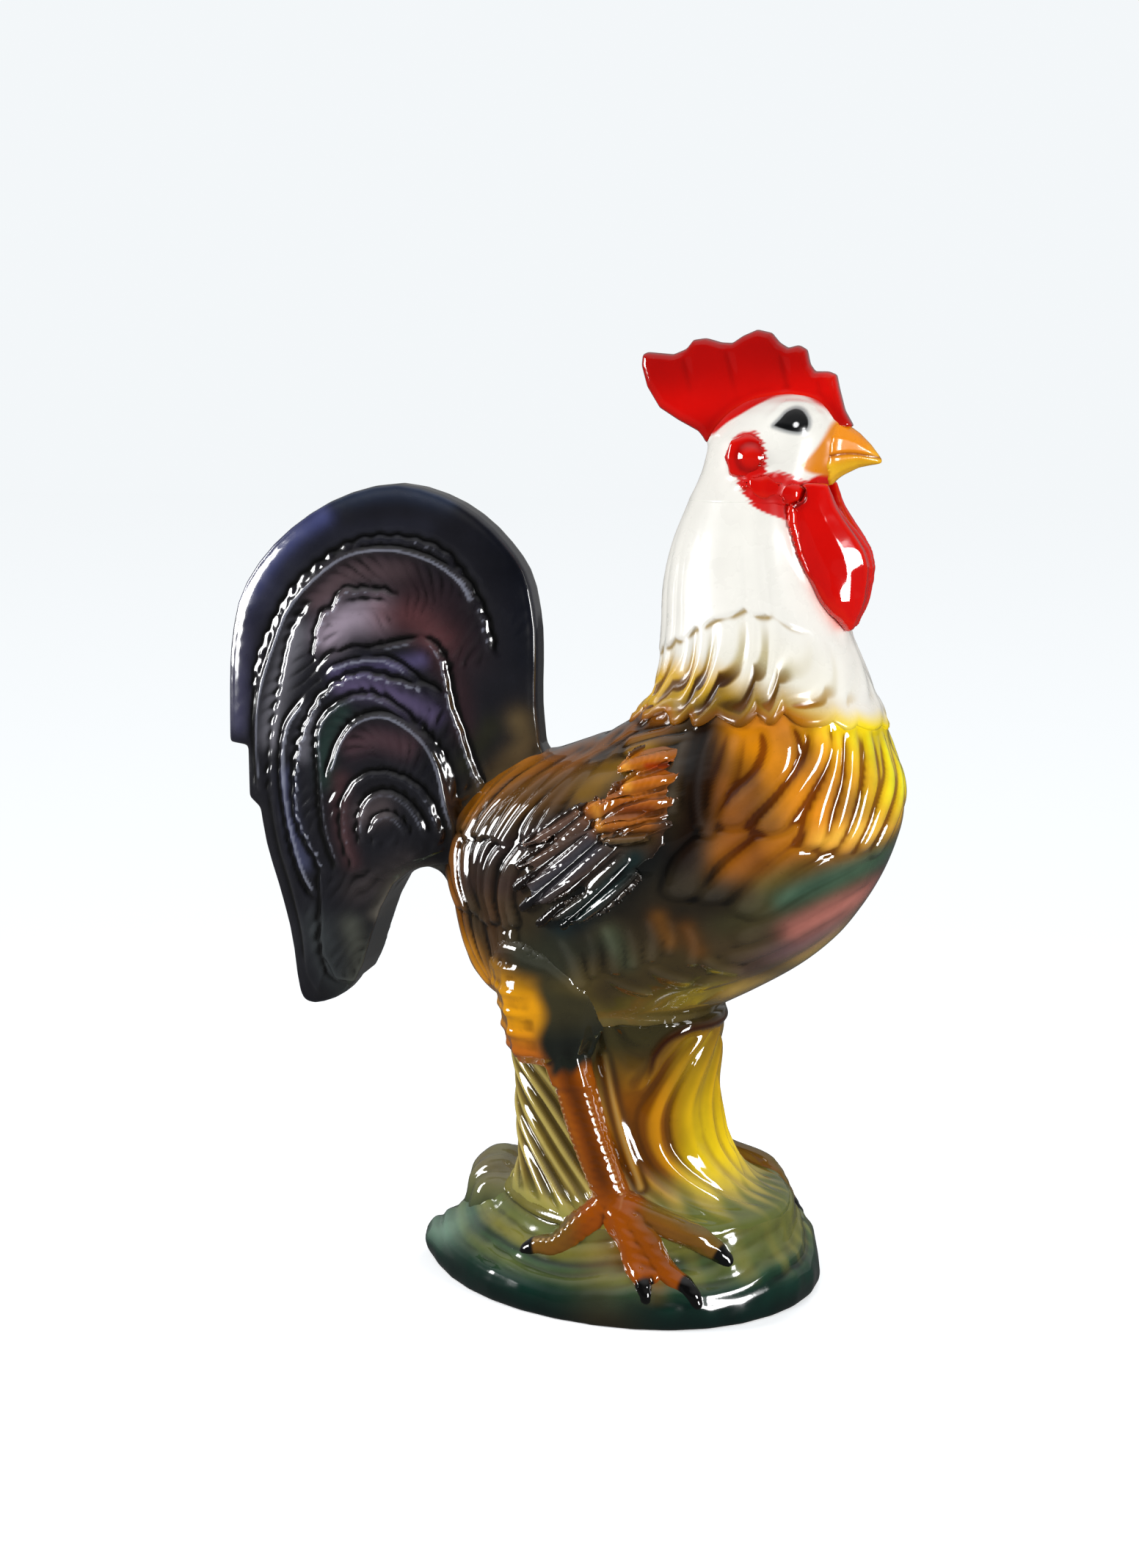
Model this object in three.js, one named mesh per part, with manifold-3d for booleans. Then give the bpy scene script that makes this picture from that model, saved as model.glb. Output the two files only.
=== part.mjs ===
// A glazed slip-cast rooster on a grass mound, in millimetres.
// +X runs from tail to beak, +Z is up, and the origin is the middle of the mound's underside.
// The figure is hollow earthenware: separate castings and sprigs, luted together with slip before firing.
import * as THREE from "three";
import { mergeVertices } from "three/addons/utils/BufferGeometryUtils.js";
import Module from "manifold-3d";

const wasm = await Module();
wasm.setup();

// Clay
const WALL = 4.5; // cast wall
const SEAM = 0.3; // slip joint between two castings
const VENT_RADIUS = 6; // vent in the mound's underside, and in the rump behind the tail
const VENT_OFFSET = 24; // vent's distance from the middle of the underside, towards the tail
const CUT = 1; // how far a hollow runs past the face that it opens

// Mound
const MOUND_LENGTH = 128;
const MOUND_DEPTH = 100;
const MOUND_HEIGHT = 26;
const MOUND_LOBES = 7; // grass lobes round the rim
const LOBE_RISE = 1.4;
const LOBE_SWIRL = 0.8; // radians that a lobe turns from rim to top
const POINT_REACH = 4; // of the grass point behind

// Grass column between mound and belly
const COLUMN_HEIGHT = 62;
const COLUMN_LENGTH = 66; // at the waist
const COLUMN_DEPTH = 49;
const COLUMN_REAR = -36; // rear edge of the waist
const BLADE_COUNT = 15; // grass blades round the column
const BLADE_RISE = 1.3;
const BLADE_TWIST = 0.9; // radians that a blade leans from foot to belly

// Body
const TORSO_LENGTH = 144;
const TORSO_HEIGHT = 102;
const TORSO_WIDTH = 89;
const TORSO_REAR = -57.5;
const EGG_RATIO = 0.1; // how much wider a section is in front than behind

// Neck and its cape of hackle feathers
const NECK_HEIGHT = 59;
const CAPE_DROP = 8; // how far the cape hangs over the shoulders
const CAPE_LIFT = 2.4; // thickness of the cape at its hem
const CAPE_HEIGHT = 23; // from the shoulder joint to the hem of the upper tier
const HACKLE_COUNT = 18; // feathers in a tier
const HACKLE_POINT = 3.2; // how far a feather's tip hangs below the hem
const HACKLE_RISE = 0.8;

// Head
const HEAD_HEIGHT = 32;
const HEAD_LENGTH = 45;
const HEAD_WIDTH = 39;
const HEAD_SETBACK = 22.5; // how far the face stands behind the breast
const EYE_LENGTH = 9;

// Comb, beak, wattles and earlobes
const COMB_LENGTH = 65;
const COMB_HEIGHT = 33;
const COMB_THICKNESS = 9;
const COMB_ROUND = 2.6; // rounding of its edge
const COMB_OVERHANG = 15; // of its rear point, behind the head
const COMB_RISE = 19; // from the crown to the top of the middle point
const BEAK_LENGTH = 19;
const BEAK_HEIGHT = 20;
const BEAK_WIDTH = 19;
const WATTLE_LENGTH = 43;
const WATTLE_BREADTH = 23;
const WATTLE_THICKNESS = 10;
const EARLOBE_LENGTH = 15;
const EARLOBE_DEPTH = 7;

// Tail
const TAIL_LENGTH = 105;
const TAIL_HEIGHT = 170;
const TAIL_THICKNESS = 15; // over the outer sickle feather
const TAIL_STEP = 1.3; // each feather inside it stands this much higher
const TAIL_ROUND = 3.4; // rounding of the outer feather's edge
const TAIL_OVERLAP = 30.5; // how far its front edge stands over the saddle, from the rump
const TAIL_DROP = 106.5; // from the shoulder joint down to the lowest tip

// Wings and body feathers
const FEATHER_LIFT = 1.5;
const FEATHER_SINK = 1.2; // how far a feather's edges are pressed into the clay below it
const SADDLE_LIFT = 1.3;
const SADDLE_WIDTH = 4; // half the width of a feather, here and below
const FLUFF_WIDTH = 5;
const WING_PAD_LIFT = 1.6;
const WING_PAD_WIDTH = 18;
const COVERT_WIDTH = 4.3;
const FLIGHT_WIDTH = 3.7;
const BREAST_FEATHERS = 8; // in the upper row
const BREAST_FEATHER_WIDTH = 7.2;

// Legs
const THIGH_LENGTH = 38;
const THIGH_THICKNESS = 28;
const THIGH_RIDGE = 0.8; // ridges of its feathers
const SHANK_RADIUS = 6.6;
const TOE_RADIUS = 4.8;
const CLAW_LENGTH = 6;
const RIGHT_STANCE = -20; // middle of the thigh, from the mound's middle
const LEFT_STANCE = -7;

// Rear tuft of grass
const TUFT_LENGTH = 22;
const TUFT_HEIGHT = 22;

// Heights of the joints
const COLUMN_FOOT = MOUND_HEIGHT;
const BELLY = COLUMN_FOOT + COLUMN_HEIGHT;
const SHOULDER = BELLY + TORSO_HEIGHT;
const JAW = SHOULDER + NECK_HEIGHT;
const CROWN = JAW + HEAD_HEIGHT;

// Places along the figure that follow from the body
const HEAD_REAR = TORSO_REAR + TORSO_LENGTH - HEAD_SETBACK - HEAD_LENGTH;
const COMB_REAR = HEAD_REAR - COMB_OVERHANG;
const TAIL_FRONT = TORSO_REAR + TAIL_OVERLAP;

// Glaze colours
const glaze = (color, roughness = 0.12) =>
  new THREE.MeshStandardMaterial({ color, roughness, metalness: 0 });
const MOSS = glaze(0x2c4a38);
const STRAW = glaze(0x9a7c1e);
const CHESTNUT = glaze(0x7a4a1c);
const UMBER = glaze(0x3b2f26);
const CREAM = glaze(0xf2efe6);
const SCARLET = glaze(0xc4120e);
const AMBER = glaze(0xe8890f);
const MIDNIGHT = glaze(0x15161f);
const RUSSET = glaze(0xa8560f);

// Closed solids

// A manifold solid from a closed geometry, turned right side out.
function solid(geometry) {
  const bare = new THREE.BufferGeometry();
  bare.setAttribute("position", geometry.getAttribute("position"));
  if (geometry.index) bare.setIndex(geometry.index);
  const merged = mergeVertices(bare, 1e-3);
  const vertProperties = new Float32Array(merged.attributes.position.array);
  const triVerts = new Uint32Array(merged.index.array);
  const made = new wasm.Manifold(new wasm.Mesh({ numProp: 3, vertProperties, triVerts }));
  if (made.volume() > 0) return made;
  for (let i = 0; i < triVerts.length; i += 3) {
    [triVerts[i + 1], triVerts[i + 2]] = [triVerts[i + 2], triVerts[i + 1]];
  }
  return new wasm.Manifold(new wasm.Mesh({ numProp: 3, vertProperties, triVerts }));
}

// A skin over a stack of rings with the same number of points, closed by a fan at each end.
function loft(rings) {
  const sides = rings[0].length;
  const points = rings.flat();
  const index = [];
  for (let i = 0; i + 1 < rings.length; i++) {
    for (let j = 0; j < sides; j++) {
      const next = (j + 1) % sides;
      const [a, b] = [i * sides + j, i * sides + next];
      index.push(a, b, b + sides, a, b + sides, a + sides);
    }
  }
  for (const [ring, first] of [[rings[0], true], [rings.at(-1), false]]) {
    const centre = points.length;
    const start = first ? 0 : (rings.length - 1) * sides;
    points.push(ring.reduce((sum, p) => sum.add(p), new THREE.Vector3()).divideScalar(sides));
    for (let j = 0; j < sides; j++) {
      const [a, b] = [start + j, start + ((j + 1) % sides)];
      index.push(...(first ? [centre, b, a] : [centre, a, b]));
    }
  }
  return solid(new THREE.BufferGeometry().setFromPoints(points).setIndex(index));
}

const join = (solids) => solids.reduce((sum, s) => sum.add(s));

// The largest piece of a solid, without the crumbs that a cut leaves.
function largest(made) {
  return made.decompose().reduce((a, b) => (a.volume() > b.volume() ? a : b));
}

function ball(x, y, z, length, width, height, detail = 12) {
  const shape = new THREE.SphereGeometry(0.5, detail, Math.round(detail * 0.7));
  shape.scale(length, width, height).translate(x, y, z);
  return solid(shape);
}

// A tube of changing radius through the given centres, with a pointed or rounded end.
function limb(centres, radii, sides = 9, steps = 8) {
  const path = new THREE.CatmullRomCurve3(centres);
  const frames = path.computeFrenetFrames(steps);
  const rings = [];
  for (let i = 0; i <= steps; i++) {
    const t = i / steps;
    const centre = path.getPointAt(t);
    const radius = valuesAt(radii, t)[0];
    rings.push(Array.from({ length: sides }, (_, k) => {
      const angle = (2 * Math.PI * k) / sides;
      return centre.clone()
        .addScaledVector(frames.normals[i], radius * Math.cos(angle))
        .addScaledVector(frames.binormals[i], radius * Math.sin(angle));
    }));
  }
  return loft(rings);
}

// Rows of a profile table read smoothly: the first number of a row is where it stands.
function valuesAt(table, at) {
  const last = table.length - 1;
  const clamped = Math.min(Math.max(at, table[0][0]), table[last][0]);
  let i = 0;
  while (i < last - 1 && clamped > table[i + 1][0]) i++;
  const [r0, r1] = [table[i], table[i + 1]];
  const [before, after] = [table[Math.max(i - 1, 0)], table[Math.min(i + 2, last)]];
  const span = r1[0] - r0[0];
  const t = (clamped - r0[0]) / span;
  return r0.slice(1).map((v0, k) => {
    const v1 = r1[k + 1];
    const slope0 = ((v1 - before[k + 1]) / (r1[0] - before[0])) * span;
    const slope1 = ((after[k + 1] - v0) / (after[0] - r0[0])) * span;
    const [t2, t3] = [t * t, t * t * t];
    return (2 * t3 - 3 * t2 + 1) * v0 + (t3 - 2 * t2 + t) * slope0
      + (3 * t2 - 2 * t3) * v1 + (t3 - t2) * slope1;
  });
}

const spread = (from, to, count) =>
  Array.from({ length: count + 1 }, (_, i) => from + ((to - from) * i) / count);

// Body sections: each is an egg-shaped ring between a back and a front edge

const blend = (a, b, t) => a + (b - a) * t;

function sectionPoint(section, angle, grow, z) {
  const middle = (section.back + section.front) / 2;
  const reach = (section.front - section.back) / 2 + grow;
  const half = section.half + grow;
  const across = half * Math.sin(angle) * (1 + EGG_RATIO * Math.cos(angle));
  return new THREE.Vector3(middle + reach * Math.cos(angle), across, z);
}

// A solid through sections at the given heights; relief(angle, z) raises its surface.
function stack(sectionAt, heights, sides, grow = 0, relief = () => 0) {
  return loft(heights.map((z) => Array.from({ length: sides }, (_, k) => {
    const angle = (2 * Math.PI * k) / sides;
    return sectionPoint(sectionAt(z), angle, grow + relief(angle, z), z);
  })));
}

// The hollow inside a stack, a wall's thickness below the surface on every side.
function hollow(sectionAt, heights, sides = 14) {
  const inner = (z) => {
    const near = [sectionAt(z - WALL), sectionAt(z), sectionAt(z + WALL)];
    return {
      back: Math.max(...near.map((s) => s.back)) + WALL,
      front: Math.min(...near.map((s) => s.front)) - WALL,
      half: Math.min(...near.map((s) => s.half)) - WALL,
    };
  };
  return stack(inner, heights, sides);
}

// Columns of each table: share of the height, back and front as shares of the length, half width.
const TORSO_PROFILE = [
  [0, 0.149, 0.58, 0.54],
  [0.04, 0.094, 0.628, 0.63],
  [0.1, 0.052, 0.705, 0.72],
  [0.18, 0.028, 0.795, 0.83],
  [0.27, 0.014, 0.868, 0.92],
  [0.36, 0.003, 0.917, 0.978],
  [0.46, 0, 0.958, 1],
  [0.56, 0.017, 0.986, 0.989],
  [0.64, 0.052, 1, 0.966],
  [0.72, 0.108, 1, 0.933],
  [0.78, 0.184, 0.992, 0.9],
  [0.84, 0.305, 0.976, 0.854],
  [0.9, 0.396, 0.962, 0.81],
  [0.96, 0.444, 0.947, 0.764],
  [1, 0.462, 0.934, 0.742],
];

function torsoSection(z) {
  const [back, front, half] = valuesAt(TORSO_PROFILE, (z - BELLY) / TORSO_HEIGHT);
  return {
    back: TORSO_REAR + back * TORSO_LENGTH,
    front: TORSO_REAR + front * TORSO_LENGTH,
    half: (half * TORSO_WIDTH) / 2,
  };
}

const HEAD_PROFILE = [
  [0, 0, 0.878, 1],
  [0.16, 0.056, 0.933, 0.95],
  [0.28, 0.089, 0.967, 0.915],
  [0.44, 0.118, 0.989, 0.89],
  [0.6, 0.144, 1, 0.85],
  [0.72, 0.2, 0.989, 0.77],
  [0.84, 0.29, 0.944, 0.64],
  [0.94, 0.42, 0.867, 0.42],
  [1, 0.56, 0.76, 0.12],
];

function headSection(z) {
  const [back, front, half] = valuesAt(HEAD_PROFILE, (z - JAW) / HEAD_HEIGHT);
  return {
    back: HEAD_REAR + back * HEAD_LENGTH,
    front: HEAD_REAR + front * HEAD_LENGTH,
    half: (half * HEAD_WIDTH) / 2,
  };
}

// How far the neck has turned from shoulder section to jaw section, at shares of its height.
const NECK_BLEND = [
  [0, 0, 0, 0],
  [0.16, 0.18, 0.2, 0.185],
  [0.27, 0.22, 0.35, 0.33],
  [0.37, 0.23, 0.49, 0.46],
  [0.54, 0.23, 0.75, 0.63],
  [0.78, 0.5, 0.97, 0.815],
  [1, 1, 1, 1],
];

function neckSection(z) {
  const [back, front, half] = valuesAt(NECK_BLEND, (z - SHOULDER) / NECK_HEIGHT);
  const [low, high] = [torsoSection(SHOULDER), headSection(JAW)];
  return {
    back: blend(low.back, high.back, back),
    front: blend(low.front, high.front, front),
    half: blend(low.half, high.half, half),
  };
}

// The surface that the neck's feathers lie on, from the torso under the cape up to the jaw.
const throatSection = (z) => (z < SHOULDER ? torsoSection(z) : neckSection(z));

// The column flares at its foot to the front and swells at the belly: shares of waist length and depth.
const COLUMN_PROFILE = [
  [0, 0, 1.33, 1.4],
  [0.08, 0.005, 1.2, 1.26],
  [0.16, 0.01, 1.13, 1.17],
  [0.3, 0.005, 1.055, 1.07],
  [0.45, 0, 1.02, 1.02],
  [0.6, -0.005, 1.0, 1],
  [0.8, -0.03, 1.01, 1.02],
  [1, -0.05, 1.02, 1.05],
];

function columnSection(z) {
  const [back, front, half] = valuesAt(COLUMN_PROFILE, (z - COLUMN_FOOT) / COLUMN_HEIGHT);
  return {
    back: COLUMN_REAR + back * COLUMN_LENGTH,
    front: COLUMN_REAR + front * COLUMN_LENGTH,
    half: (half * COLUMN_DEPTH) / 2,
  };
}

// How far the mound has drawn in from its rim to the column's foot, at shares of its height.
const MOUND_BLEND = [
  [0, 0.05],
  [0.1, 0],
  [0.26, 0],
  [0.38, 0.07],
  [0.5, 0.25],
  [0.62, 0.45],
  [0.73, 0.63],
  [0.85, 0.81],
  [1, 1],
];

function moundSection(z) {
  const [drawn] = valuesAt(MOUND_BLEND, z / MOUND_HEIGHT);
  const foot = columnSection(COLUMN_FOOT);
  return {
    back: blend(-MOUND_LENGTH / 2, foot.back, drawn),
    front: blend(MOUND_LENGTH / 2, foot.front, drawn),
    half: blend(MOUND_DEPTH / 2, foot.half, drawn),
  };
}

const groundSection = (z) => (z < COLUMN_FOOT ? moundSection(z) : columnSection(z));

// Height of the mound or column's skin above a point of the floor.
function groundHeight(x, y) {
  let [low, high] = [0, BELLY];
  for (let i = 0; i < 24; i++) {
    const z = (low + high) / 2;
    const s = groundSection(z);
    const along = (x - (s.back + s.front) / 2) / ((s.front - s.back) / 2);
    if (along * along + (y / s.half) ** 2 < 1) low = z;
    else high = z;
  }
  return low;
}

// Mound

// Swirled lobes of grass, and the pointed one that runs out behind.
function lobes(angle, z) {
  const share = Math.min(z / MOUND_HEIGHT, 1);
  const swirl = Math.cos(MOUND_LOBES * (angle + LOBE_SWIRL * share) + 0.6) * Math.sin(Math.PI * share);
  const turn = angle - Math.PI - 0.05;
  return LOBE_RISE * swirl + POINT_REACH * Math.exp(-((turn / 0.22) ** 2) - ((share - 0.25) / 0.3) ** 2);
}

const moundHeights = [0, 0.1, 0.26, 0.38, 0.5, 0.62, 0.73, 0.85, 1].map((s) => s * MOUND_HEIGHT);

const moundSolid = (grow) => stack(moundSection, moundHeights, 32, grow, lobes);

function buildMound() {
  const inside = hollow(groundSection, spread(WALL, MOUND_HEIGHT + CUT, 5));
  const vent = new THREE.CylinderGeometry(VENT_RADIUS, VENT_RADIUS, 3 * WALL, 18);
  vent.rotateX(Math.PI / 2).translate(-VENT_OFFSET, 0, 0);
  return moundSolid(0).subtract(inside).subtract(solid(vent));
}

// Everything below the belly, swollen by a seam: what a leg or tuft is cut with.
function groundBlock() {
  return moundSolid(SEAM).translate([0, 0, SEAM]).add(columnSolid(SEAM));
}

// Grass column

function blades(angle, z) {
  const share = (z - COLUMN_FOOT) / COLUMN_HEIGHT;
  const swell = Math.sin(Math.PI * Math.min(Math.max(share, 0), 1)) ** 0.5;
  return BLADE_RISE * swell * Math.cos(BLADE_COUNT * (angle + BLADE_TWIST * share * share));
}

const columnHeights = spread(COLUMN_FOOT + SEAM, BELLY - SEAM, 8);
const columnSolid = (grow) => stack(columnSection, columnHeights, 3 * BLADE_COUNT, grow, blades);

function buildColumn() {
  const inside = hollow(columnSection, spread(COLUMN_FOOT - CUT, BELLY + CUT, 4));
  return columnSolid(0).subtract(inside);
}

// Each leaf of the tuft: shares of its length that it stands to the left, and of its height that it arches.
const TUFT_LEAVES = [[0.09, 0.34], [0.43, 0.44], [0.77, 0.32]];

function buildTuft(ground) {
  const foot = COLUMN_FOOT - 0.18 * TUFT_HEIGHT;
  const blade = TUFT_HEIGHT * 0.27;
  const leaves = TUFT_LEAVES.map(([share, arch]) => {
    const at = (back, out, rise) => new THREE.Vector3(
      COLUMN_REAR - back * TUFT_LENGTH,
      out * share * TUFT_LENGTH,
      foot + rise * TUFT_HEIGHT,
    );
    const path = [at(-0.2, 0.7, 0), at(0.28, 0.9, arch), at(0.66, 1, arch - 0.3), at(0.74, 1.1, -0.6)];
    return limb(path, [[0, blade], [0.5, blade], [0.85, 0.85 * blade], [1, 0.7 * blade]], 7, 4);
  });
  return largest(join(leaves).subtract(ground));
}

// Feathers

// Relative half width of a feather along its spine.
const LEAF = [
  [0, 0.55],
  [0.2, 0.85],
  [0.5, 1],
  [0.75, 0.9],
  [0.92, 0.55],
  [1, 0.2],
];

// A feather laid on a surface. place(u, v, height) gives the point at height above the surface,
// and spine holds its (u, v) line from root to tip. It has a flat top, or a crest if it is slender.
function feather(place, spine, width, lift, slender = false, steps = 3) {
  const line = new THREE.CatmullRomCurve3(spine.map(([u, v]) => new THREE.Vector3(u, v, 0)));
  const rings = [];
  for (let i = 0; i <= steps; i++) {
    const t = i / steps;
    const at = line.getPoint(t);
    const along = line.getTangent(t);
    const across = new THREE.Vector3(-along.y, along.x, 0).multiplyScalar(width * valuesAt(LEAF, t)[0]);
    const point = (share, height) => place(at.x + share * across.x, at.y + share * across.y, height);
    const top = slender ? [point(0, lift)] : [point(-0.4, lift), point(0.4, lift)];
    rings.push([point(-1, -FEATHER_SINK), ...top, point(1, -FEATHER_SINK)]);
  }
  return loft(rings);
}

// Places a point on the flank from its side view, on the right (-1) or left (+1).
const flank = (side) => (x, z, height) => {
  const s = throatSection(z);
  const along = (x - (s.back + s.front) / 2) / ((s.front - s.back) / 2);
  const share = Math.min(Math.max(along, -0.97), 0.97);
  const surface = s.half * Math.sqrt(1 - share * share) * (1 + EGG_RATIO * share);
  return new THREE.Vector3(x, side * (surface + height), z);
};

// The (x, z) line of a spine that is given in shares of the torso's length and height.
const onTorso = (spine) => spine.map(([x, z]) => [TORSO_REAR + x * TORSO_LENGTH, BELLY + z * TORSO_HEIGHT]);

// Places a point on the breast from its distance round the girth and its height.
const breast = (girth, z, height) => sectionPoint(torsoSection(z), (2 * girth) / TORSO_WIDTH, height, z);

// Side-view spines of the saddle feathers, from the back down towards the tail's root: shares of the torso.
const SADDLE = [
  [[0.455, 0.922], [0.413, 0.833], [0.358, 0.735]],
  [[0.392, 0.882], [0.344, 0.784], [0.281, 0.686]],
  [[0.33, 0.843], [0.274, 0.755], [0.212, 0.657]],
  [[0.267, 0.814], [0.212, 0.725], [0.149, 0.627]],
];

// Side-view spines of the fluff behind the thigh.
const FLUFF = [
  [[0.094, 0.539], [0.073, 0.412], [0.087, 0.245], [0.135, 0.108]],
  [[0.17, 0.529], [0.135, 0.392], [0.149, 0.245], [0.191, 0.127]],
];

// Saddle, rump and breast feathers, each a sprig of its own before the luting.
function plumage(grow) {
  const laid = [];
  for (const side of [-1, 1]) {
    for (const [spines, width] of [[SADDLE, SADDLE_WIDTH], [FLUFF, FLUFF_WIDTH]]) {
      for (const spine of spines) {
        laid.push(feather(flank(side), onTorso(spine), width + grow, SADDLE_LIFT + grow, true));
      }
    }
  }
  const [top, tip] = [BELLY + 0.97 * TORSO_HEIGHT, BELLY + 0.68 * TORSO_HEIGHT];
  for (let row = 0; row < 2; row++) {
    const count = BREAST_FEATHERS - row;
    for (let i = 0; i < count; i++) {
      const girth = (i - (count - 1) / 2) * 1.75 * BREAST_FEATHER_WIDTH;
      const down = row * 0.2 * TORSO_HEIGHT;
      const spine = [[girth, top - down], [girth * 0.96, (top + tip) / 2 - down], [girth * 0.88, tip - down]];
      laid.push(feather(breast, spine, BREAST_FEATHER_WIDTH + grow, FEATHER_LIFT + grow, false, 2));
    }
  }
  return join(laid);
}

// Torso

const torsoHeights = TORSO_PROFILE.map(([share]) => BELLY + share * TORSO_HEIGHT);

const torsoSolid = (grow) => stack(torsoSection, torsoHeights, 22, grow);

function buildTorso(cape) {
  const inside = hollow(throatSection, spread(BELLY - CUT, SHOULDER + CUT, 6));
  const vent = new THREE.CylinderGeometry(VENT_RADIUS, VENT_RADIUS, 6 * WALL, 12);
  const rump = torsoSection(TAIL_SEAT);
  vent.rotateZ(Math.PI / 2).translate(rump.back + WALL, 0, TAIL_SEAT);
  return torsoSolid(0).add(plumage(0).subtract(cape)).subtract(inside).subtract(solid(vent));
}

// Neck and hackle cape

const flute = (angle) => Math.cos(HACKLE_COUNT * angle);

// The lower tier hangs over the shoulders, and the upper one over the lower.
function capeRelief(angle, z) {
  if (z < SHOULDER + CAPE_HEIGHT - 0.4 * CAPE_LIFT) {
    const share = (z - SHOULDER + CAPE_DROP) / (CAPE_HEIGHT + CAPE_DROP);
    return CAPE_LIFT * (1 - 0.75 * share) + HACKLE_RISE * (1 - 0.5 * share) * flute(angle);
  }
  const share = (z - SHOULDER - CAPE_HEIGHT) / (NECK_HEIGHT - CAPE_HEIGHT);
  return 0.7 * CAPE_LIFT * (1 - share) ** 2 + 0.6 * HACKLE_RISE * (1 - share) * flute(angle);
}

// A ring of the cape whose feather tips hang down by drop, with its surface raised by grow.
function capeRing(z, drop, grow) {
  const sides = 3 * HACKLE_COUNT;
  return Array.from({ length: sides }, (_, k) => {
    const angle = (2 * Math.PI * k) / sides;
    const height = z - drop * Math.max(flute(angle), 0);
    return sectionPoint(throatSection(height), angle, capeRelief(angle, z) + grow, height);
  });
}

// The neck with its cape, filled in down to the shoulders and swollen by grow.
function capeSolid(grow) {
  const hem = SHOULDER - CAPE_DROP - grow;
  const tier = SHOULDER + CAPE_HEIGHT;
  return loft([
    capeRing(hem, HACKLE_POINT, grow - 0.4 * CAPE_LIFT),
    capeRing(hem + 0.6 * CAPE_LIFT, HACKLE_POINT, grow),
    ...spread(hem + 2.5 * CAPE_LIFT, tier - 1.7 * CAPE_LIFT, 1).map((z) => capeRing(z, 0, grow)),
    capeRing(tier - 0.5 * CAPE_LIFT, HACKLE_POINT / 2, grow),
    capeRing(tier, HACKLE_POINT / 2, grow),
    ...spread(tier + 3.3 * CAPE_LIFT, JAW, 2).map((z) => capeRing(z, 0, grow)),
  ]);
}

function buildHackle(torso) {
  const inside = hollow(throatSection, spread(SHOULDER - 0.75 * CAPE_DROP, JAW + CUT, 5));
  return largest(capeSolid(0).subtract(torso).subtract(inside));
}

// Head

const headHeights = HEAD_PROFILE.map(([share]) => JAW + SEAM + share * (HEAD_HEIGHT - SEAM));
const EYE = { x: HEAD_REAR + 0.745 * HEAD_LENGTH, z: JAW + 0.74 * HEAD_HEIGHT };

function headBlock(grow) {
  return stack(headSection, headHeights, 20, grow);
}

function buildHead() {
  const eyes = [-1, 1].map((side) => {
    const y = side * headSection(EYE.z).half * 0.72;
    return ball(EYE.x, y, EYE.z, EYE_LENGTH, EYE_LENGTH * 0.55, EYE_LENGTH * 0.75, 10);
  });
  const inside = hollow(headSection, spread(JAW - CUT, CROWN - 2.2 * WALL, 3), 14);
  return join([headBlock(0), ...eyes]).subtract(inside);
}

// Comb

// The comb's five points in side view, as shares of its length and height from its rear foot.
const COMB_EDGE = [
  [0.308, 0], [0.27, 0.09], [0.17, 0.195], [0.08, 0.315], [0.022, 0.52], [0, 0.71], [0.012, 0.79],
  [0.05, 0.8], [0.19, 0.78], [0.222, 0.86], [0.265, 0.925], [0.335, 0.91], [0.405, 0.868], [0.45, 0.9],
  [0.51, 0.98], [0.585, 0.99], [0.63, 0.915], [0.668, 0.828], [0.72, 0.852], [0.764, 0.84],
  [0.782, 0.71], [0.8, 0.628], [0.865, 0.622], [0.905, 0.6], [0.92, 0.48], [0.948, 0.28], [0.99, 0.135],
];

function buildComb(head, beak) {
  const foot = CROWN + COMB_RISE - COMB_HEIGHT;
  const place = ([x, z]) => new THREE.Vector2(COMB_REAR + x * COMB_LENGTH, foot + z * COMB_HEIGHT);
  const points = COMB_EDGE.map(place);
  const shape = new THREE.Shape();
  shape.moveTo(points[0].x, points[0].y);
  shape.splineThru(points.slice(1));
  shape.lineTo(...place([0.82, -0.05]).toArray());
  shape.lineTo(...place([0.48, -0.05]).toArray());
  const pressed = blade(shape, COMB_THICKNESS, COMB_ROUND, 0.77 * COMB_ROUND, 2, 1);
  return largest(pressed.subtract(head).subtract(beak));
}

// A flat piece in side view, of full thickness in the middle and rounded round its edge.
function blade(shape, thickness, round, inset, segments, curveSegments) {
  const flat = new THREE.ExtrudeGeometry(shape, {
    depth: thickness - 2 * round,
    bevelThickness: round,
    bevelSize: inset,
    bevelOffset: -inset,
    bevelSegments: segments,
    curveSegments,
  });
  flat.translate(0, 0, round - thickness / 2).rotateX(Math.PI / 2);
  return solid(flat);
}

// Beak

// Share of the length, then top, bottom and half width as shares of the beak's height and width.
const BEAK_PROFILE = [
  [0, 1, 0.02, 1],
  [0.22, 0.97, 0.05, 0.9],
  [0.43, 0.92, 0.17, 0.72],
  [0.64, 0.78, 0.27, 0.52],
  [0.82, 0.61, 0.31, 0.34],
  [0.95, 0.45, 0.33, 0.17],
  [1, 0.38, 0.35, 0.05],
];

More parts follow.
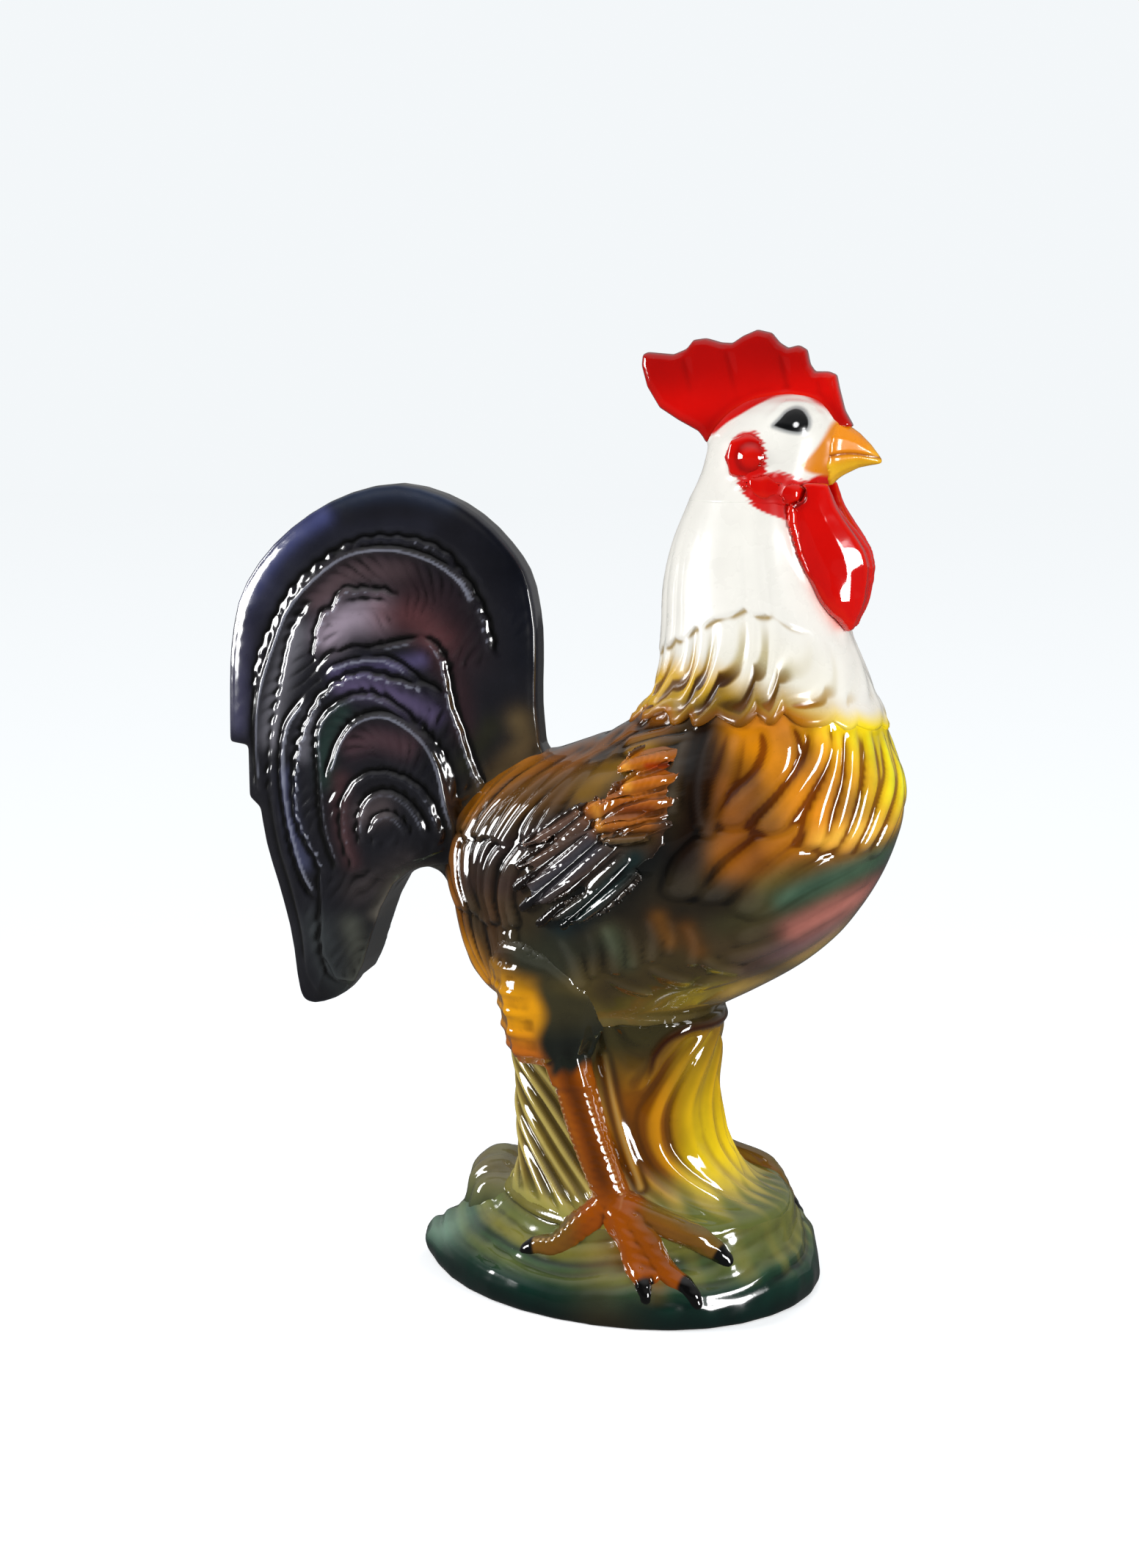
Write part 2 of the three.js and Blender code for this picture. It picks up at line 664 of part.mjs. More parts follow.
function beakSolid(grow) {
  const foot = JAW + 0.15 * HEAD_HEIGHT;
  const root = HEAD_REAR + HEAD_LENGTH - 0.32 * BEAK_LENGTH;
  const rings = BEAK_PROFILE.map(([share, top, bottom, half]) => {
    const middle = foot + ((top + bottom) / 2) * BEAK_HEIGHT;
    const reach = ((top - bottom) / 2) * BEAK_HEIGHT + grow;
    return Array.from({ length: 14 }, (_, k) => {
      const angle = (2 * Math.PI * k) / 14;
      const gape = Math.abs(Math.sin(angle)) < 0.3 ? 0.93 : 1;
      const y = ((half * BEAK_WIDTH) / 2 + grow) * Math.cos(angle) * gape;
      return new THREE.Vector3(root + share * (BEAK_LENGTH + grow), y, middle + reach * Math.sin(angle));
    });
  });
  return loft(rings);
}

// Wattles

// Share of the length from the tip up, back and front as shares of the breadth, thickness.
const WATTLE_PROFILE = [
  [0, 0.76, 0.82, 0.15],
  [0.06, 0.68, 0.88, 0.55],
  [0.13, 0.56, 0.95, 0.85],
  [0.21, 0.44, 1, 1],
  [0.32, 0.33, 1.025, 1],
  [0.42, 0.22, 1.015, 0.98],
  [0.53, 0.13, 0.95, 0.94],
  [0.63, 0.09, 0.85, 0.88],
  [0.74, 0.03, 0.72, 0.8],
  [0.85, 0.02, 0.6, 0.72],
  [1, 0.17, 0.5, 0.4],
];
const WATTLE_LEAN_RATIO = 0.62; // how fast a wattle runs outwards, going back from its front edge

function buildWattle(side, neighbours) {
  const front = HEAD_REAR + HEAD_LENGTH + 0.43 * WATTLE_BREADTH;
  const tip = JAW + 0.18 * HEAD_HEIGHT - WATTLE_LENGTH;
  const rings = WATTLE_PROFILE.map(([share, back, fore, thick]) => {
    const [x0, x1] = [back, fore].map((s) => front - (1 - s) * WATTLE_BREADTH);
    return Array.from({ length: 10 }, (_, k) => {
      const angle = (2 * Math.PI * k) / 10;
      const x = (x0 + x1) / 2 + ((x1 - x0) / 2) * Math.cos(angle);
      const swell = 0.4 * thick * WATTLE_THICKNESS * Math.sin(angle);
      const out = 0.44 * WATTLE_THICKNESS + (front - x) * WATTLE_LEAN_RATIO + swell;
      return new THREE.Vector3(x, side * Math.max(out, SEAM), tip + share * WATTLE_LENGTH);
    });
  });
  return largest(loft(rings).subtract(neighbours));
}

// Earlobe and the red cheek below it

function earlobeSolid(side, grow) {
  const [x, z] = [HEAD_REAR + 0.44 * HEAD_LENGTH, JAW + 0.42 * HEAD_HEIGHT];
  const y = side * headSection(z).half;
  const [breadth, depth] = [EARLOBE_LENGTH + 2 * grow, EARLOBE_DEPTH + 2 * grow];
  return join([
    ball(x, y * 0.93, z, breadth, depth, breadth, 8),
    ball(x + 0.35 * EARLOBE_LENGTH, y * 0.96, z - 0.6 * EARLOBE_LENGTH, breadth, depth, breadth * 0.7, 7),
    ball(x + 0.75 * EARLOBE_LENGTH, y * 0.86, z - 0.72 * EARLOBE_LENGTH, breadth, depth, breadth * 0.6, 7),
  ]);
}

// Tail

// Outlines of the tail feathers in side view, outermost first: shares of the tail's length behind
// its front edge, and of its height above its lowest tip. Runs of points are smooth, and meet in corners.
const TAIL_FEATHERS = [
  [
    [[0, 0.515], [0.012, 0.6], [0.01, 0.68], [0.014, 0.75], [0.04, 0.83], [0.095, 0.885], [0.185, 0.94],
      [0.3, 0.98], [0.445, 1], [0.6, 0.98], [0.74, 0.935], [0.863, 0.87], [0.95, 0.79], [0.985, 0.7],
      [0.995, 0.62], [1, 0.505]],
    [[1, 0.505], [0.94, 0.5]],
    [[0.94, 0.5], [0.94, 0.4], [0.905, 0.38]],
    [[0.905, 0.38], [0.885, 0.305], [0.845, 0.22], [0.81, 0.13], [0.79, 0.03], [0.765, 0], [0.71, 0],
      [0.63, 0.025], [0.58, 0.075], [0.54, 0.15], [0.5, 0.205], [0.43, 0.26], [0.36, 0.28], [0.3, 0.265]],
    [[0.3, 0.265], [0.22, 0.2], [0, 0.2], [-0.06, 0.42], [0, 0.515]],
  ],
  [
    [[0.15, 0.4], [0.15, 0.6], [0.162, 0.7], [0.2, 0.775], [0.285, 0.845], [0.375, 0.87], [0.47, 0.88],
      [0.585, 0.87], [0.68, 0.83], [0.775, 0.77], [0.84, 0.685], [0.88, 0.6], [0.9, 0.515], [0.905, 0.42],
      [0.87, 0.395]],
    [[0.87, 0.395], [0.7, 0.4], [0.15, 0.4]],
  ],
  [
    [[0.22, 0.4], [0.22, 0.68], [0.27, 0.77], [0.37, 0.815], [0.505, 0.83], [0.63, 0.81], [0.725, 0.75],
      [0.78, 0.665], [0.82, 0.56], [0.835, 0.44], [0.825, 0.335], [0.79, 0.24], [0.76, 0.145], [0.75, 0.065],
      [0.715, 0.025]],
    [[0.715, 0.025], [0.68, 0.08], [0.65, 0.25], [0.22, 0.4]],
  ],
  [
    [[0.24, 0.4], [0.25, 0.56], [0.285, 0.665], [0.335, 0.725], [0.425, 0.785], [0.505, 0.8], [0.6, 0.795],
      [0.665, 0.75], [0.69, 0.7], [0.69, 0.65]],
    [[0.69, 0.65], [0.6, 0.57], [0.24, 0.4]],
  ],
  [
    [[0.29, 0.3], [0.28, 0.52], [0.315, 0.6], [0.38, 0.635], [0.43, 0.64], [0.52, 0.65], [0.565, 0.645],
      [0.63, 0.62], [0.685, 0.585], [0.725, 0.535], [0.75, 0.49], [0.755, 0.4], [0.74, 0.35], [0.7, 0.3],
      [0.67, 0.25], [0.68, 0.18], [0.68, 0.11], [0.645, 0.06], [0.585, 0.055]],
    [[0.585, 0.055], [0.55, 0.1], [0.515, 0.17], [0.47, 0.235], [0.41, 0.275], [0.29, 0.3]],
  ],
  [
    [[0.27, 0.3], [0.25, 0.37], [0.257, 0.42], [0.28, 0.49], [0.34, 0.545], [0.42, 0.585], [0.5, 0.605],
      [0.57, 0.6], [0.64, 0.57], [0.67, 0.535], [0.665, 0.465], [0.66, 0.395], [0.645, 0.34], [0.605, 0.27]],
    [[0.605, 0.27], [0.53, 0.265], [0.46, 0.26], [0.38, 0.285], [0.27, 0.3]],
  ],
  [
    [[0.275, 0.33], [0.265, 0.41], [0.295, 0.475], [0.34, 0.525], [0.41, 0.56], [0.475, 0.575], [0.55, 0.56],
      [0.595, 0.525], [0.625, 0.48], [0.64, 0.395], [0.625, 0.34], [0.575, 0.28]],
    [[0.575, 0.28], [0.47, 0.275], [0.38, 0.295], [0.275, 0.33]],
  ],
  [
    [[0.285, 0.325], [0.295, 0.37], [0.32, 0.405], [0.36, 0.445], [0.425, 0.462], [0.48, 0.46], [0.53, 0.443],
      [0.553, 0.415], [0.557, 0.36], [0.525, 0.3]],
    [[0.525, 0.3], [0.43, 0.285], [0.285, 0.325]],
  ],
  [
    [[0.33, 0.335], [0.36, 0.375], [0.41, 0.405], [0.465, 0.405], [0.51, 0.38], [0.505, 0.335], [0.45, 0.305],
      [0.37, 0.305]],
    [[0.37, 0.305], [0.33, 0.335]],
  ],
];

const TAIL_FOOT = SHOULDER - TAIL_DROP;
const TAIL_SEAT = TAIL_FOOT + 0.4 * TAIL_HEIGHT; // height of the middle of the rump joint

function tailShape(runs) {
  const place = ([x, z]) => new THREE.Vector2(TAIL_FRONT - x * TAIL_LENGTH, TAIL_FOOT + z * TAIL_HEIGHT);
  const shape = new THREE.Shape();
  shape.moveTo(...place(runs[0][0]).toArray());
  for (const run of runs) {
    const points = run.slice(1).map(place);
    if (points.length > 4) shape.splineThru(points);
    else points.forEach((p) => shape.lineTo(p.x, p.y));
  }
  return shape;
}

function buildTail(torso) {
  const layers = TAIL_FEATHERS.map((runs, i) => {
    const outer = i === 0;
    const thickness = TAIL_THICKNESS + 2 * i * TAIL_STEP;
    if (outer) return blade(tailShape(runs), thickness, TAIL_ROUND, 0.88 * TAIL_ROUND, 2, 2);
    return blade(tailShape(runs), thickness, 1.15 * TAIL_STEP, 0.77 * TAIL_STEP, 1, 1);
  });
  const path = [[0.08, 0.42], [0.26, 0.46], [0.42, 0.5], [0.52, 0.42], [0.54, 0.3]].map(([x, z]) =>
    new THREE.Vector3(TAIL_FRONT - x * TAIL_LENGTH, 0, TAIL_FOOT + z * TAIL_HEIGHT));
  const core = TAIL_THICKNESS / 2 - WALL + 1.85 * TAIL_STEP;
  const radii = [[0, VENT_RADIUS], [0.3, 1.18 * core], [0.8, 1.18 * core], [1, 0.63 * core]];
  const inside = limb(path, radii, 10, 7);
  return largest(join(layers).subtract(torso).subtract(inside));
}

// Wings

// Side-view spines of the wing's pad, coverts and flight feathers, shoulder first: shares of the torso.
const WING_PAD = [[0.58, 0.78], [0.455, 0.655], [0.247, 0.445]];
const COVERTS = [
  [[0.573, 0.873], [0.497, 0.853], [0.427, 0.804]],
  [[0.58, 0.814], [0.497, 0.784], [0.413, 0.735]],
  [[0.573, 0.745], [0.49, 0.716], [0.406, 0.667]],
  [[0.559, 0.676], [0.49, 0.647], [0.427, 0.608]],
];
const FLIGHT = [
  [[0.399, 0.725], [0.316, 0.647], [0.226, 0.569]],
  [[0.42, 0.676], [0.323, 0.588], [0.212, 0.5]],
  [[0.434, 0.627], [0.33, 0.529], [0.212, 0.441]],
  [[0.455, 0.588], [0.344, 0.48], [0.226, 0.382]],
  [[0.476, 0.549], [0.372, 0.431], [0.267, 0.343]],
  [[0.49, 0.53], [0.41, 0.425], [0.325, 0.345]],
];

function buildWing(side, torso, cape) {
  const place = flank(side);
  const pad = feather(place, onTorso(WING_PAD), WING_PAD_WIDTH, WING_PAD_LIFT, false, 4);
  const coverts = COVERTS.map((spine) =>
    feather(place, onTorso(spine), COVERT_WIDTH, WING_PAD_LIFT + 2 * FEATHER_LIFT));
  const flight = FLIGHT.map((spine) =>
    feather(place, onTorso(spine), FLIGHT_WIDTH, WING_PAD_LIFT + 1.3 * FEATHER_LIFT, true, 4));
  return largest(join([pad, ...coverts, ...flight]).subtract(torso).subtract(cape));
}

// Legs

// Share of the length from the hem up, back and front as shares of the thickness, half width.
const THIGH_PROFILE = [
  [0, -0.36, 0.38, 0.5],
  [0.1, -0.44, 0.52, 0.76],
  [0.28, -0.5, 0.6, 0.94],
  [0.5, -0.55, 0.64, 1],
  [0.75, -0.6, 0.66, 0.93],
  [1, -0.55, 0.6, 0.7],
];

// Plan-view points of a foot's toes from the ankle out: shares of the mound's half length and half depth.
const RIGHT_FOOT = {
  ankle: [0.031, 0.63],
  toes: [
    [[0.156, 0.77], [0.219, 0.89], [0.25, 0.96]],
    [[0.188, 0.72], [0.359, 0.8], [0.484, 0.83]],
    [[0.234, 0.63], [0.453, 0.58], [0.656, 0.52]],
    [[-0.125, 0.68], [-0.25, 0.69], [-0.359, 0.67]],
  ],
};
const LEFT_FOOT = {
  ankle: [0.25, 0.6],
  toes: [
    [[0.328, 0.74], [0.375, 0.84], [0.406, 0.9]],
    [[0.406, 0.67], [0.562, 0.71], [0.688, 0.68]],
    [[0.469, 0.54], [0.703, 0.47], [0.875, 0.4]],
    [[0.094, 0.66], [-0.047, 0.71], [-0.156, 0.72]],
  ],
};

function buildLeg(side, stance, foot, torso, ground) {
  const hem = BELLY - 0.32 * THIGH_LENGTH;
  const out = 0.86 * THIGH_THICKNESS;
  const middle = { y: side * out, half: THIGH_THICKNESS / 2 };
  const thigh = loft(THIGH_PROFILE.map(([share, back, front, half]) => Array.from({ length: 16 }, (_, k) => {
    const angle = (2 * Math.PI * k) / 16;
    const ridge = THIGH_RIDGE * Math.cos(8 * angle) * (1 - share);
    const reach = ((front - back) / 2) * THIGH_THICKNESS + ridge;
    const centre = stance + ((front + back) / 2) * THIGH_THICKNESS;
    const y = middle.y + (middle.half * half + ridge) * Math.sin(angle);
    return new THREE.Vector3(centre + reach * Math.cos(angle), y, hem + share * THIGH_LENGTH);
  })));
  const onMound = ([x, out], rise) => {
    const [along, across] = [(x * MOUND_LENGTH) / 2, (out * MOUND_DEPTH) / 2];
    return new THREE.Vector3(along, side * across, groundHeight(along, across) + rise);
  };
  const ankle = onMound(foot.ankle, 0.3 * SHANK_RADIUS);
  const knee = ankle.clone().setX(stance + 0.18 * THIGH_THICKNESS).setZ(hem + 0.16 * THIGH_LENGTH);
  knee.y -= side * 0.18 * THIGH_THICKNESS;
  const shin = knee.clone().lerp(ankle, 0.5);
  const girth = [[0, 1.15 * SHANK_RADIUS], [0.5, SHANK_RADIUS], [1, SHANK_RADIUS]];
  const shank = limb([knee, shin, ankle], girth, 8, 3);
  const toes = foot.toes.map((plan) => {
    const joints = plan.map((share) => onMound(share, 0.25 * TOE_RADIUS));
    const claw = joints.at(-1).clone().sub(joints.at(-2)).setLength(CLAW_LENGTH / 3);
    claw.z -= CLAW_LENGTH / 3;
    const taper = [[0, 1.25], [0.3, 1], [0.8, 0.8], [1, 0.35]].map(([share, r]) => [share, r * TOE_RADIUS]);
    return limb([ankle, ...joints, joints.at(-1).clone().add(claw)], taper, 6, 5);
  });
  return largest(join([thigh, shank, ...toes]).subtract(torso).subtract(ground));
}

// Assembly

const rooster = new THREE.Group();
rooster.name = "rooster";

function add(name, made, material) {
  const mesh = made.getMesh();
  const geometry = new THREE.BufferGeometry();
  geometry.setAttribute("position", new THREE.BufferAttribute(new Float32Array(mesh.vertProperties), 3));
  geometry.setIndex(new THREE.BufferAttribute(new Uint32Array(mesh.triVerts), 1));
  const piece = new THREE.Mesh(geometry, material);
  piece.name = name;
  rooster.add(piece);
}

const ground = groundBlock();
const torsoCut = torsoSolid(SEAM).add(plumage(SEAM));
const headCut = headBlock(SEAM);
const capeCut = capeSolid(SEAM);
const beakCut = beakSolid(SEAM);

add("base_mound", buildMound(), MOSS);
add("rear_tuft", buildTuft(ground), STRAW);
add("grass_column", buildColumn(), STRAW);
add("torso", buildTorso(capeCut), CHESTNUT);
add("hackle_neck", buildHackle(torsoSolid(SEAM).translate([0, 0, SEAM])), CREAM);
add("head", buildHead(), CREAM);
add("comb", buildComb(headCut, beakCut), SCARLET);
add("beak", largest(beakSolid(0).subtract(headCut)), AMBER);
add("tail", buildTail(torsoCut), MIDNIGHT);
for (const [name, side, stance, foot] of [
  ["right", -1, RIGHT_STANCE, RIGHT_FOOT],
  ["left", 1, LEFT_STANCE, LEFT_FOOT],
]) {
  add(`${name}_wing`, buildWing(side, torsoCut, capeCut), UMBER);
  add(`${name}_leg`, buildLeg(side, stance, foot, torsoCut, ground), RUSSET);
  const behind = join([headCut, capeCut, beakCut]);
  add(`${name}_earlobe`, largest(earlobeSolid(side, 0).subtract(behind)), SCARLET);
  add(`${name}_wattle`, buildWattle(side, behind.add(earlobeSolid(side, SEAM))), SCARLET);
}

export default rooster;
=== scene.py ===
import math

import bmesh
import bpy
import numpy as np
from mathutils import Matrix, Vector
from mathutils.bvhtree import BVHTree


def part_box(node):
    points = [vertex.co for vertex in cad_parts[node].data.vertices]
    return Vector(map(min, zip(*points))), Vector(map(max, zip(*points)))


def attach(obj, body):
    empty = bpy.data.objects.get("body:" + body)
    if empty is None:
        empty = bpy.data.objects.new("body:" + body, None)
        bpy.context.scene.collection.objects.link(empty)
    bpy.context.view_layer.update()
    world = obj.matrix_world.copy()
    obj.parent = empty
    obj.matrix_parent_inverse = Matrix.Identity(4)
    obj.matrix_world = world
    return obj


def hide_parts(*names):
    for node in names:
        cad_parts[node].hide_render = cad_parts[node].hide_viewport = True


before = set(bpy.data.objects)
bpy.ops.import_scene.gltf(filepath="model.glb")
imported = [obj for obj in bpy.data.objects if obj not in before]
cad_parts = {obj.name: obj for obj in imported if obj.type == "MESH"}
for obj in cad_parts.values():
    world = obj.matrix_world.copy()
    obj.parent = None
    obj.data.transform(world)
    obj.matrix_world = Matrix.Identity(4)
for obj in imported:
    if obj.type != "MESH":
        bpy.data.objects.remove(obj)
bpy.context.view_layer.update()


# Grass mound
# The foot of the figure: a hollow oval casting with layers of grass swirled round its top and a
# casting vent in its flat underside. The green glaze runs down it and pools dark round the rim.

MM = 0.001
MOUND_GRAIN = 0.7  # mm between the points of its skin
MOUND_MIDDLE = 4  # its swirl turns this far ahead of the origin
MOUND_STRETCH = 1.28  # its length over its depth
LAYER_STEP = 0.9
LAYER_PITCH = 11.5
SKIRT_MIDDLE, SKIRT_LENGTH, SKIRT_DEPTH = 8, 44, 34  # where the column spreads over it, as half sizes
WEB = [(8, -38), (14, -42), (19, -44)]  # middle of the brown glaze between the front toes, seen from above
KHAKI = (176, 158, 84)
OLIVE = (130, 122, 50)
PALE_OLIVE = (140, 138, 60)
RUNNY_OLIVE = (140, 132, 60)
SKIRT_OLIVE = (112, 114, 52)
GRASS_GREEN = (38, 76, 52)
POOL_GREEN = (14, 48, 38)
BOTTLE_GREEN = (4, 28, 24)
LOBE_HIGHLIGHT_GREEN = (138, 172, 150)
SEAM_BROWN = (96, 78, 24)
FOOT_BROWN = (120, 84, 34)
WEB_BROWN = (130, 84, 16)
BARE_CLAY = (205, 186, 160)


def tint(colour):
    """A colour given as it looks on a screen, from 0 to 255, as the light that it sends back."""
    share = np.array(colour, float) / 255
    return np.where(share <= 0.04045, share / 12.92, ((share + 0.055) / 1.055) ** 2.4)


def ramp(value, start, end):
    """0 before start, 1 after end, and smooth between them."""
    t = np.clip((np.asarray(value, float) - start) / (end - start), 0, 1)
    return t * t * (3 - 2 * t)


def bump(value, middle, reach):
    """1 at the middle, fading out at its reach on both sides."""
    return np.exp(-(((np.asarray(value, float) - middle) / reach) ** 2))


def mix(a, b, share):
    return a + (b - a) * np.asarray(share)[..., None]


def coats(coat, *sprays):
    """Lays sprays over a coat, each a colour and its share of cover. A number darkens what is there."""
    for colour, share in sprays:
        coat = mix(coat, coat * colour if np.isscalar(colour) else tint(colour), share)
    return coat


def skin_over(node, grain, passes, shape=None):
    """An even skin over one casting of the frame, shaped further if asked, and softened like clay."""
    casting = bmesh.new()
    casting.from_mesh(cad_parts[node].data)
    bmesh.ops.remove_doubles(casting, verts=casting.verts, dist=1e-5)
    if shape:
        shape(casting)
    mesh = bpy.data.meshes.new(f"{node}_skin")
    casting.to_mesh(mesh)
    casting.free()
    rough = bpy.data.objects.new(f"{node}_skin", mesh)
    bpy.context.scene.collection.objects.link(rough)
    remesh = rough.modifiers.new("skin", "REMESH")
    remesh.mode = "VOXEL"
    remesh.voxel_size = grain * MM
    soften = rough.modifiers.new("soften", "SMOOTH")
    soften.factor = 0.5
    soften.iterations = passes
    bpy.context.view_layer.update()
    done = bpy.data.meshes.new_from_object(rough.evaluated_get(bpy.context.evaluated_depsgraph_get()))
    bpy.data.objects.remove(rough)
    return done


def points_of(mesh):
    """Positions in millimetres and unit normals of a mesh's points."""
    place = np.empty(3 * len(mesh.vertices))
    mesh.vertices.foreach_get("co", place)
    facing = np.empty(3 * len(mesh.vertices))
    mesh.vertex_normals.foreach_get("vector", facing)
    return place.reshape(-1, 3) / MM, facing.reshape(-1, 3)


def move_points(mesh, place):
    mesh.vertices.foreach_set("co", (place * MM).ravel())
    mesh.update()


def evened(mesh, values, passes):
    """Values of a mesh's points, each averaged with its neighbours a number of times."""
    ends = np.empty(2 * len(mesh.edges), int)
    mesh.edges.foreach_get("vertices", ends)
    a, b = ends.reshape(-1, 2).T
    size = len(values)
    count = np.maximum(np.bincount(a, minlength=size) + np.bincount(b, minlength=size), 1)
    for _ in range(passes):
        values = np.column_stack([
            (np.bincount(a, v[b], size) + np.bincount(b, v[a], size)) / count for v in values.T
        ])
    return values


def raise_relief(mesh, relief, soften=2):
    """Moves each point out along its normal by relief(place, facing) in millimetres, softened as by glaze."""
    place, facing = points_of(mesh)
    move_points(mesh, place + facing * evened(mesh, relief(place, facing)[:, None], soften))


def depth_of_relief(mesh, passes=14):
    """How far each point stands above (+) or below (-) the smoothed surface round it, in millimetres."""
    place, facing = points_of(mesh)
    return ((place - evened(mesh, place, passes)) * facing).sum(1)


def feed(tree, node, inputs):
    """Gives each named input of a node a value, or a link from another node's output."""
    for name, value in inputs.items():
        if isinstance(value, bpy.types.NodeSocket):
            tree.links.new(value, node.inputs[name])
        else:
            node.inputs[name].default_value = value


def add_node(tree, kind, inputs=None, **settings):
    """Adds a shader node with its settings and inputs."""
    node = tree.nodes.new("ShaderNode" + kind)
    for name, value in settings.items():
        setattr(node, name, value)
    feed(tree, node, inputs or {})
    return node


def arithmetic(tree, operation, a, b):
    return add_node(tree, "Math", {0: a, 1: b}, operation=operation).outputs["Value"]


def spread(tree, source, low, high, to_low, to_high):
    """Stretches the range of a value from low and high to another."""
    limits = {"From Min": low, "From Max": high, "To Min": to_low, "To Max": to_high}
    return add_node(tree, "MapRange", {"Value": source, **limits}).outputs["Result"]


def glaze_mottle():
    """Shader group: slow drifts of tone, fine speckle and the faint waviness of a fired glaze."""
    group = bpy.data.node_groups.new("glaze_mottle", "ShaderNodeTree")
    for name, way, kind in (
        ("Colour", "INPUT", "Color"),
        ("Drift", "INPUT", "Float"),
        ("Speckle", "INPUT", "Float"),
        ("Colour", "OUTPUT", "Color"),
        ("Patches", "OUTPUT", "Float"),
        ("Height", "OUTPUT", "Float"),
    ):
        group.interface.new_socket(name, in_out=way, socket_type="NodeSocket" + kind)
    given, made = group.nodes.new("NodeGroupInput").outputs, group.nodes.new("NodeGroupOutput")
    where = add_node(group, "TexCoord").outputs["Object"]

    def clouds(scale, detail, rough=0.5):
        grain = {"Scale": scale, "Detail": detail, "Roughness": rough}
        return add_node(group, "TexNoise", {"Vector": where, **grain}).outputs["Fac"]

    drift = arithmetic(group, "MULTIPLY", spread(group, clouds(55, 4), 0.3, 0.7, -1, 1), given["Drift"])
    specks = arithmetic(group, "MULTIPLY", spread(group, clouds(900, 2), 0.66, 0.74, 0, 1), given["Speckle"])
    tone = arithmetic(
        group, "MULTIPLY", arithmetic(group, "ADD", 1, drift), arithmetic(group, "SUBTRACT", 1, specks)
    )
    shade = add_node(
        group, "Mix", {"Factor": 1, "A": given["Colour"], "B": tone}, data_type="RGBA", blend_type="MULTIPLY"
    )
    feed(group, made, {
        "Colour": shade.outputs["Result"],
        "Patches": spread(group, clouds(140, 3), 0.35, 0.65, 0, 1),
        "Height": clouds(230, 2, 0.4),
    })
    return group


MOTTLE = glaze_mottle()


def glaze(name, drift=0.16, speckle=0.12, wave=0.06, clear=1.0, dull=0.05):
    """A glossy glaze over the colours painted on a piece: its mottle, waviness and clear coat."""
    material = bpy.data.materials.new(name)
    material.use_nodes = True
    tree = material.node_tree
    paint = add_node(tree, "Attribute", attribute_name="paint").outputs["Color"]
    mottle = add_node(
        tree, "Group", {"Colour": paint, "Drift": drift, "Speckle": speckle}, node_tree=MOTTLE
    ).outputs
    waves = {"Height": mottle["Height"], "Strength": wave, "Distance": 0.4 * MM}
    feed(tree, tree.nodes["Principled BSDF"], {
        "Base Color": mottle["Colour"],
        "Roughness": spread(tree, mottle["Patches"], 0, 1, dull, 2 * dull),
        "Normal": add_node(tree, "Bump", waves).outputs["Normal"],
        "IOR": 1.5,
        "Coat Weight": clear,
        "Coat Roughness": 0.4 * dull,
    })
    return material


FINE_DEPTH = ((14, 1.0),)  # smoothing passes and share of each measure of depth that a piece is painted by


def fire(name, mesh, paint, material, slot, *nodes, depths=FINE_DEPTH):
    """Makes the finished piece: paint(place, facing, depth) gives the colour of each of its points."""
    place, facing = points_of(mesh)
    depth = sum(share * depth_of_relief(mesh, passes) for passes, share in depths)
    coat = mesh.color_attributes.new("paint", "FLOAT_COLOR", "POINT")
    colours = np.column_stack([np.clip(paint(place, facing, depth), 0, 1), np.ones(len(place))])
    coat.data.foreach_set("color", colours.ravel())
    mesh.shade_smooth()
    piece = bpy.data.objects.new(name, mesh)
    bpy.context.scene.collection.objects.link(piece)
    mesh.materials.clear()
    mesh.materials.append(material)
    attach(piece, "root")
    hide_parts(*nodes)


def measure(points, line):
    """Each point's distance from a line, the length of line before its nearest place, and its side of it."""
    gap, passed, side = np.full(len(points), 1e9), np.zeros(len(points)), np.ones(len(points))
    run = 0
    for a, b in zip(line[:-1], line[1:]):
        step = b - a
        length = np.linalg.norm(step)
        t = np.clip((points - a) @ step / length**2, 0, 1)
        away = points - a - t[:, None] * step
        far = np.sqrt((away**2).sum(1))
        near = far < gap
        gap[near] = far[near]
        passed[near] = run + t[near] * length
        side[near] = np.sign(step[0] * away[near, 1] - step[1] * away[near, 0])
        run += length
    return gap, passed, side


def round_mound(place):
    """Each point's distance from the middle of the mound, counted along its length, and its way round it."""
    x, y = place[:, 0] - MOUND_MIDDLE, place[:, 1] * MOUND_STRETCH
    return np.hypot(x, y), np.arctan2(y, x)


def swirl(place):
    """Phase of the grass layers round the mound: their edges wind slowly outwards as they go round."""
    out, turn = round_mound(place)
    return 2 * turn / (2 * math.pi) + out / LAYER_PITCH + 0.22 * np.sin(2 * turn + 1)


def skirt(place):
    """How far out a point lies on the column's spreading foot: 1 where it ends on the mound."""
    return np.hypot((place[:, 0] - SKIRT_MIDDLE) / SKIRT_LENGTH, place[:, 1] / SKIRT_DEPTH)


def runs(turn):
    """Streaks of glaze that run down between the blades of grass, light above 0 and dark below it."""
    return np.sin(30 * turn + 3 * np.sin(4 * turn))


def mound_relief(place, facing):
    layer = swirl(place) % 1
    step = LAYER_STEP * (0.25 + 0.75 * layer) * (1 - ramp(layer, 0.84, 1)) * ramp(layer, 0, 0.1)
    fine = 0.3 * np.cos(2 * math.pi * 2.5 * swirl(place) + 0.7 * np.sin(0.09 * place[:, 0]))
    top = ramp(facing[:, 2], 0.1, 0.6) * ramp(place[:, 2], 6, 12)
    return top * (step - 0.4 + fine)


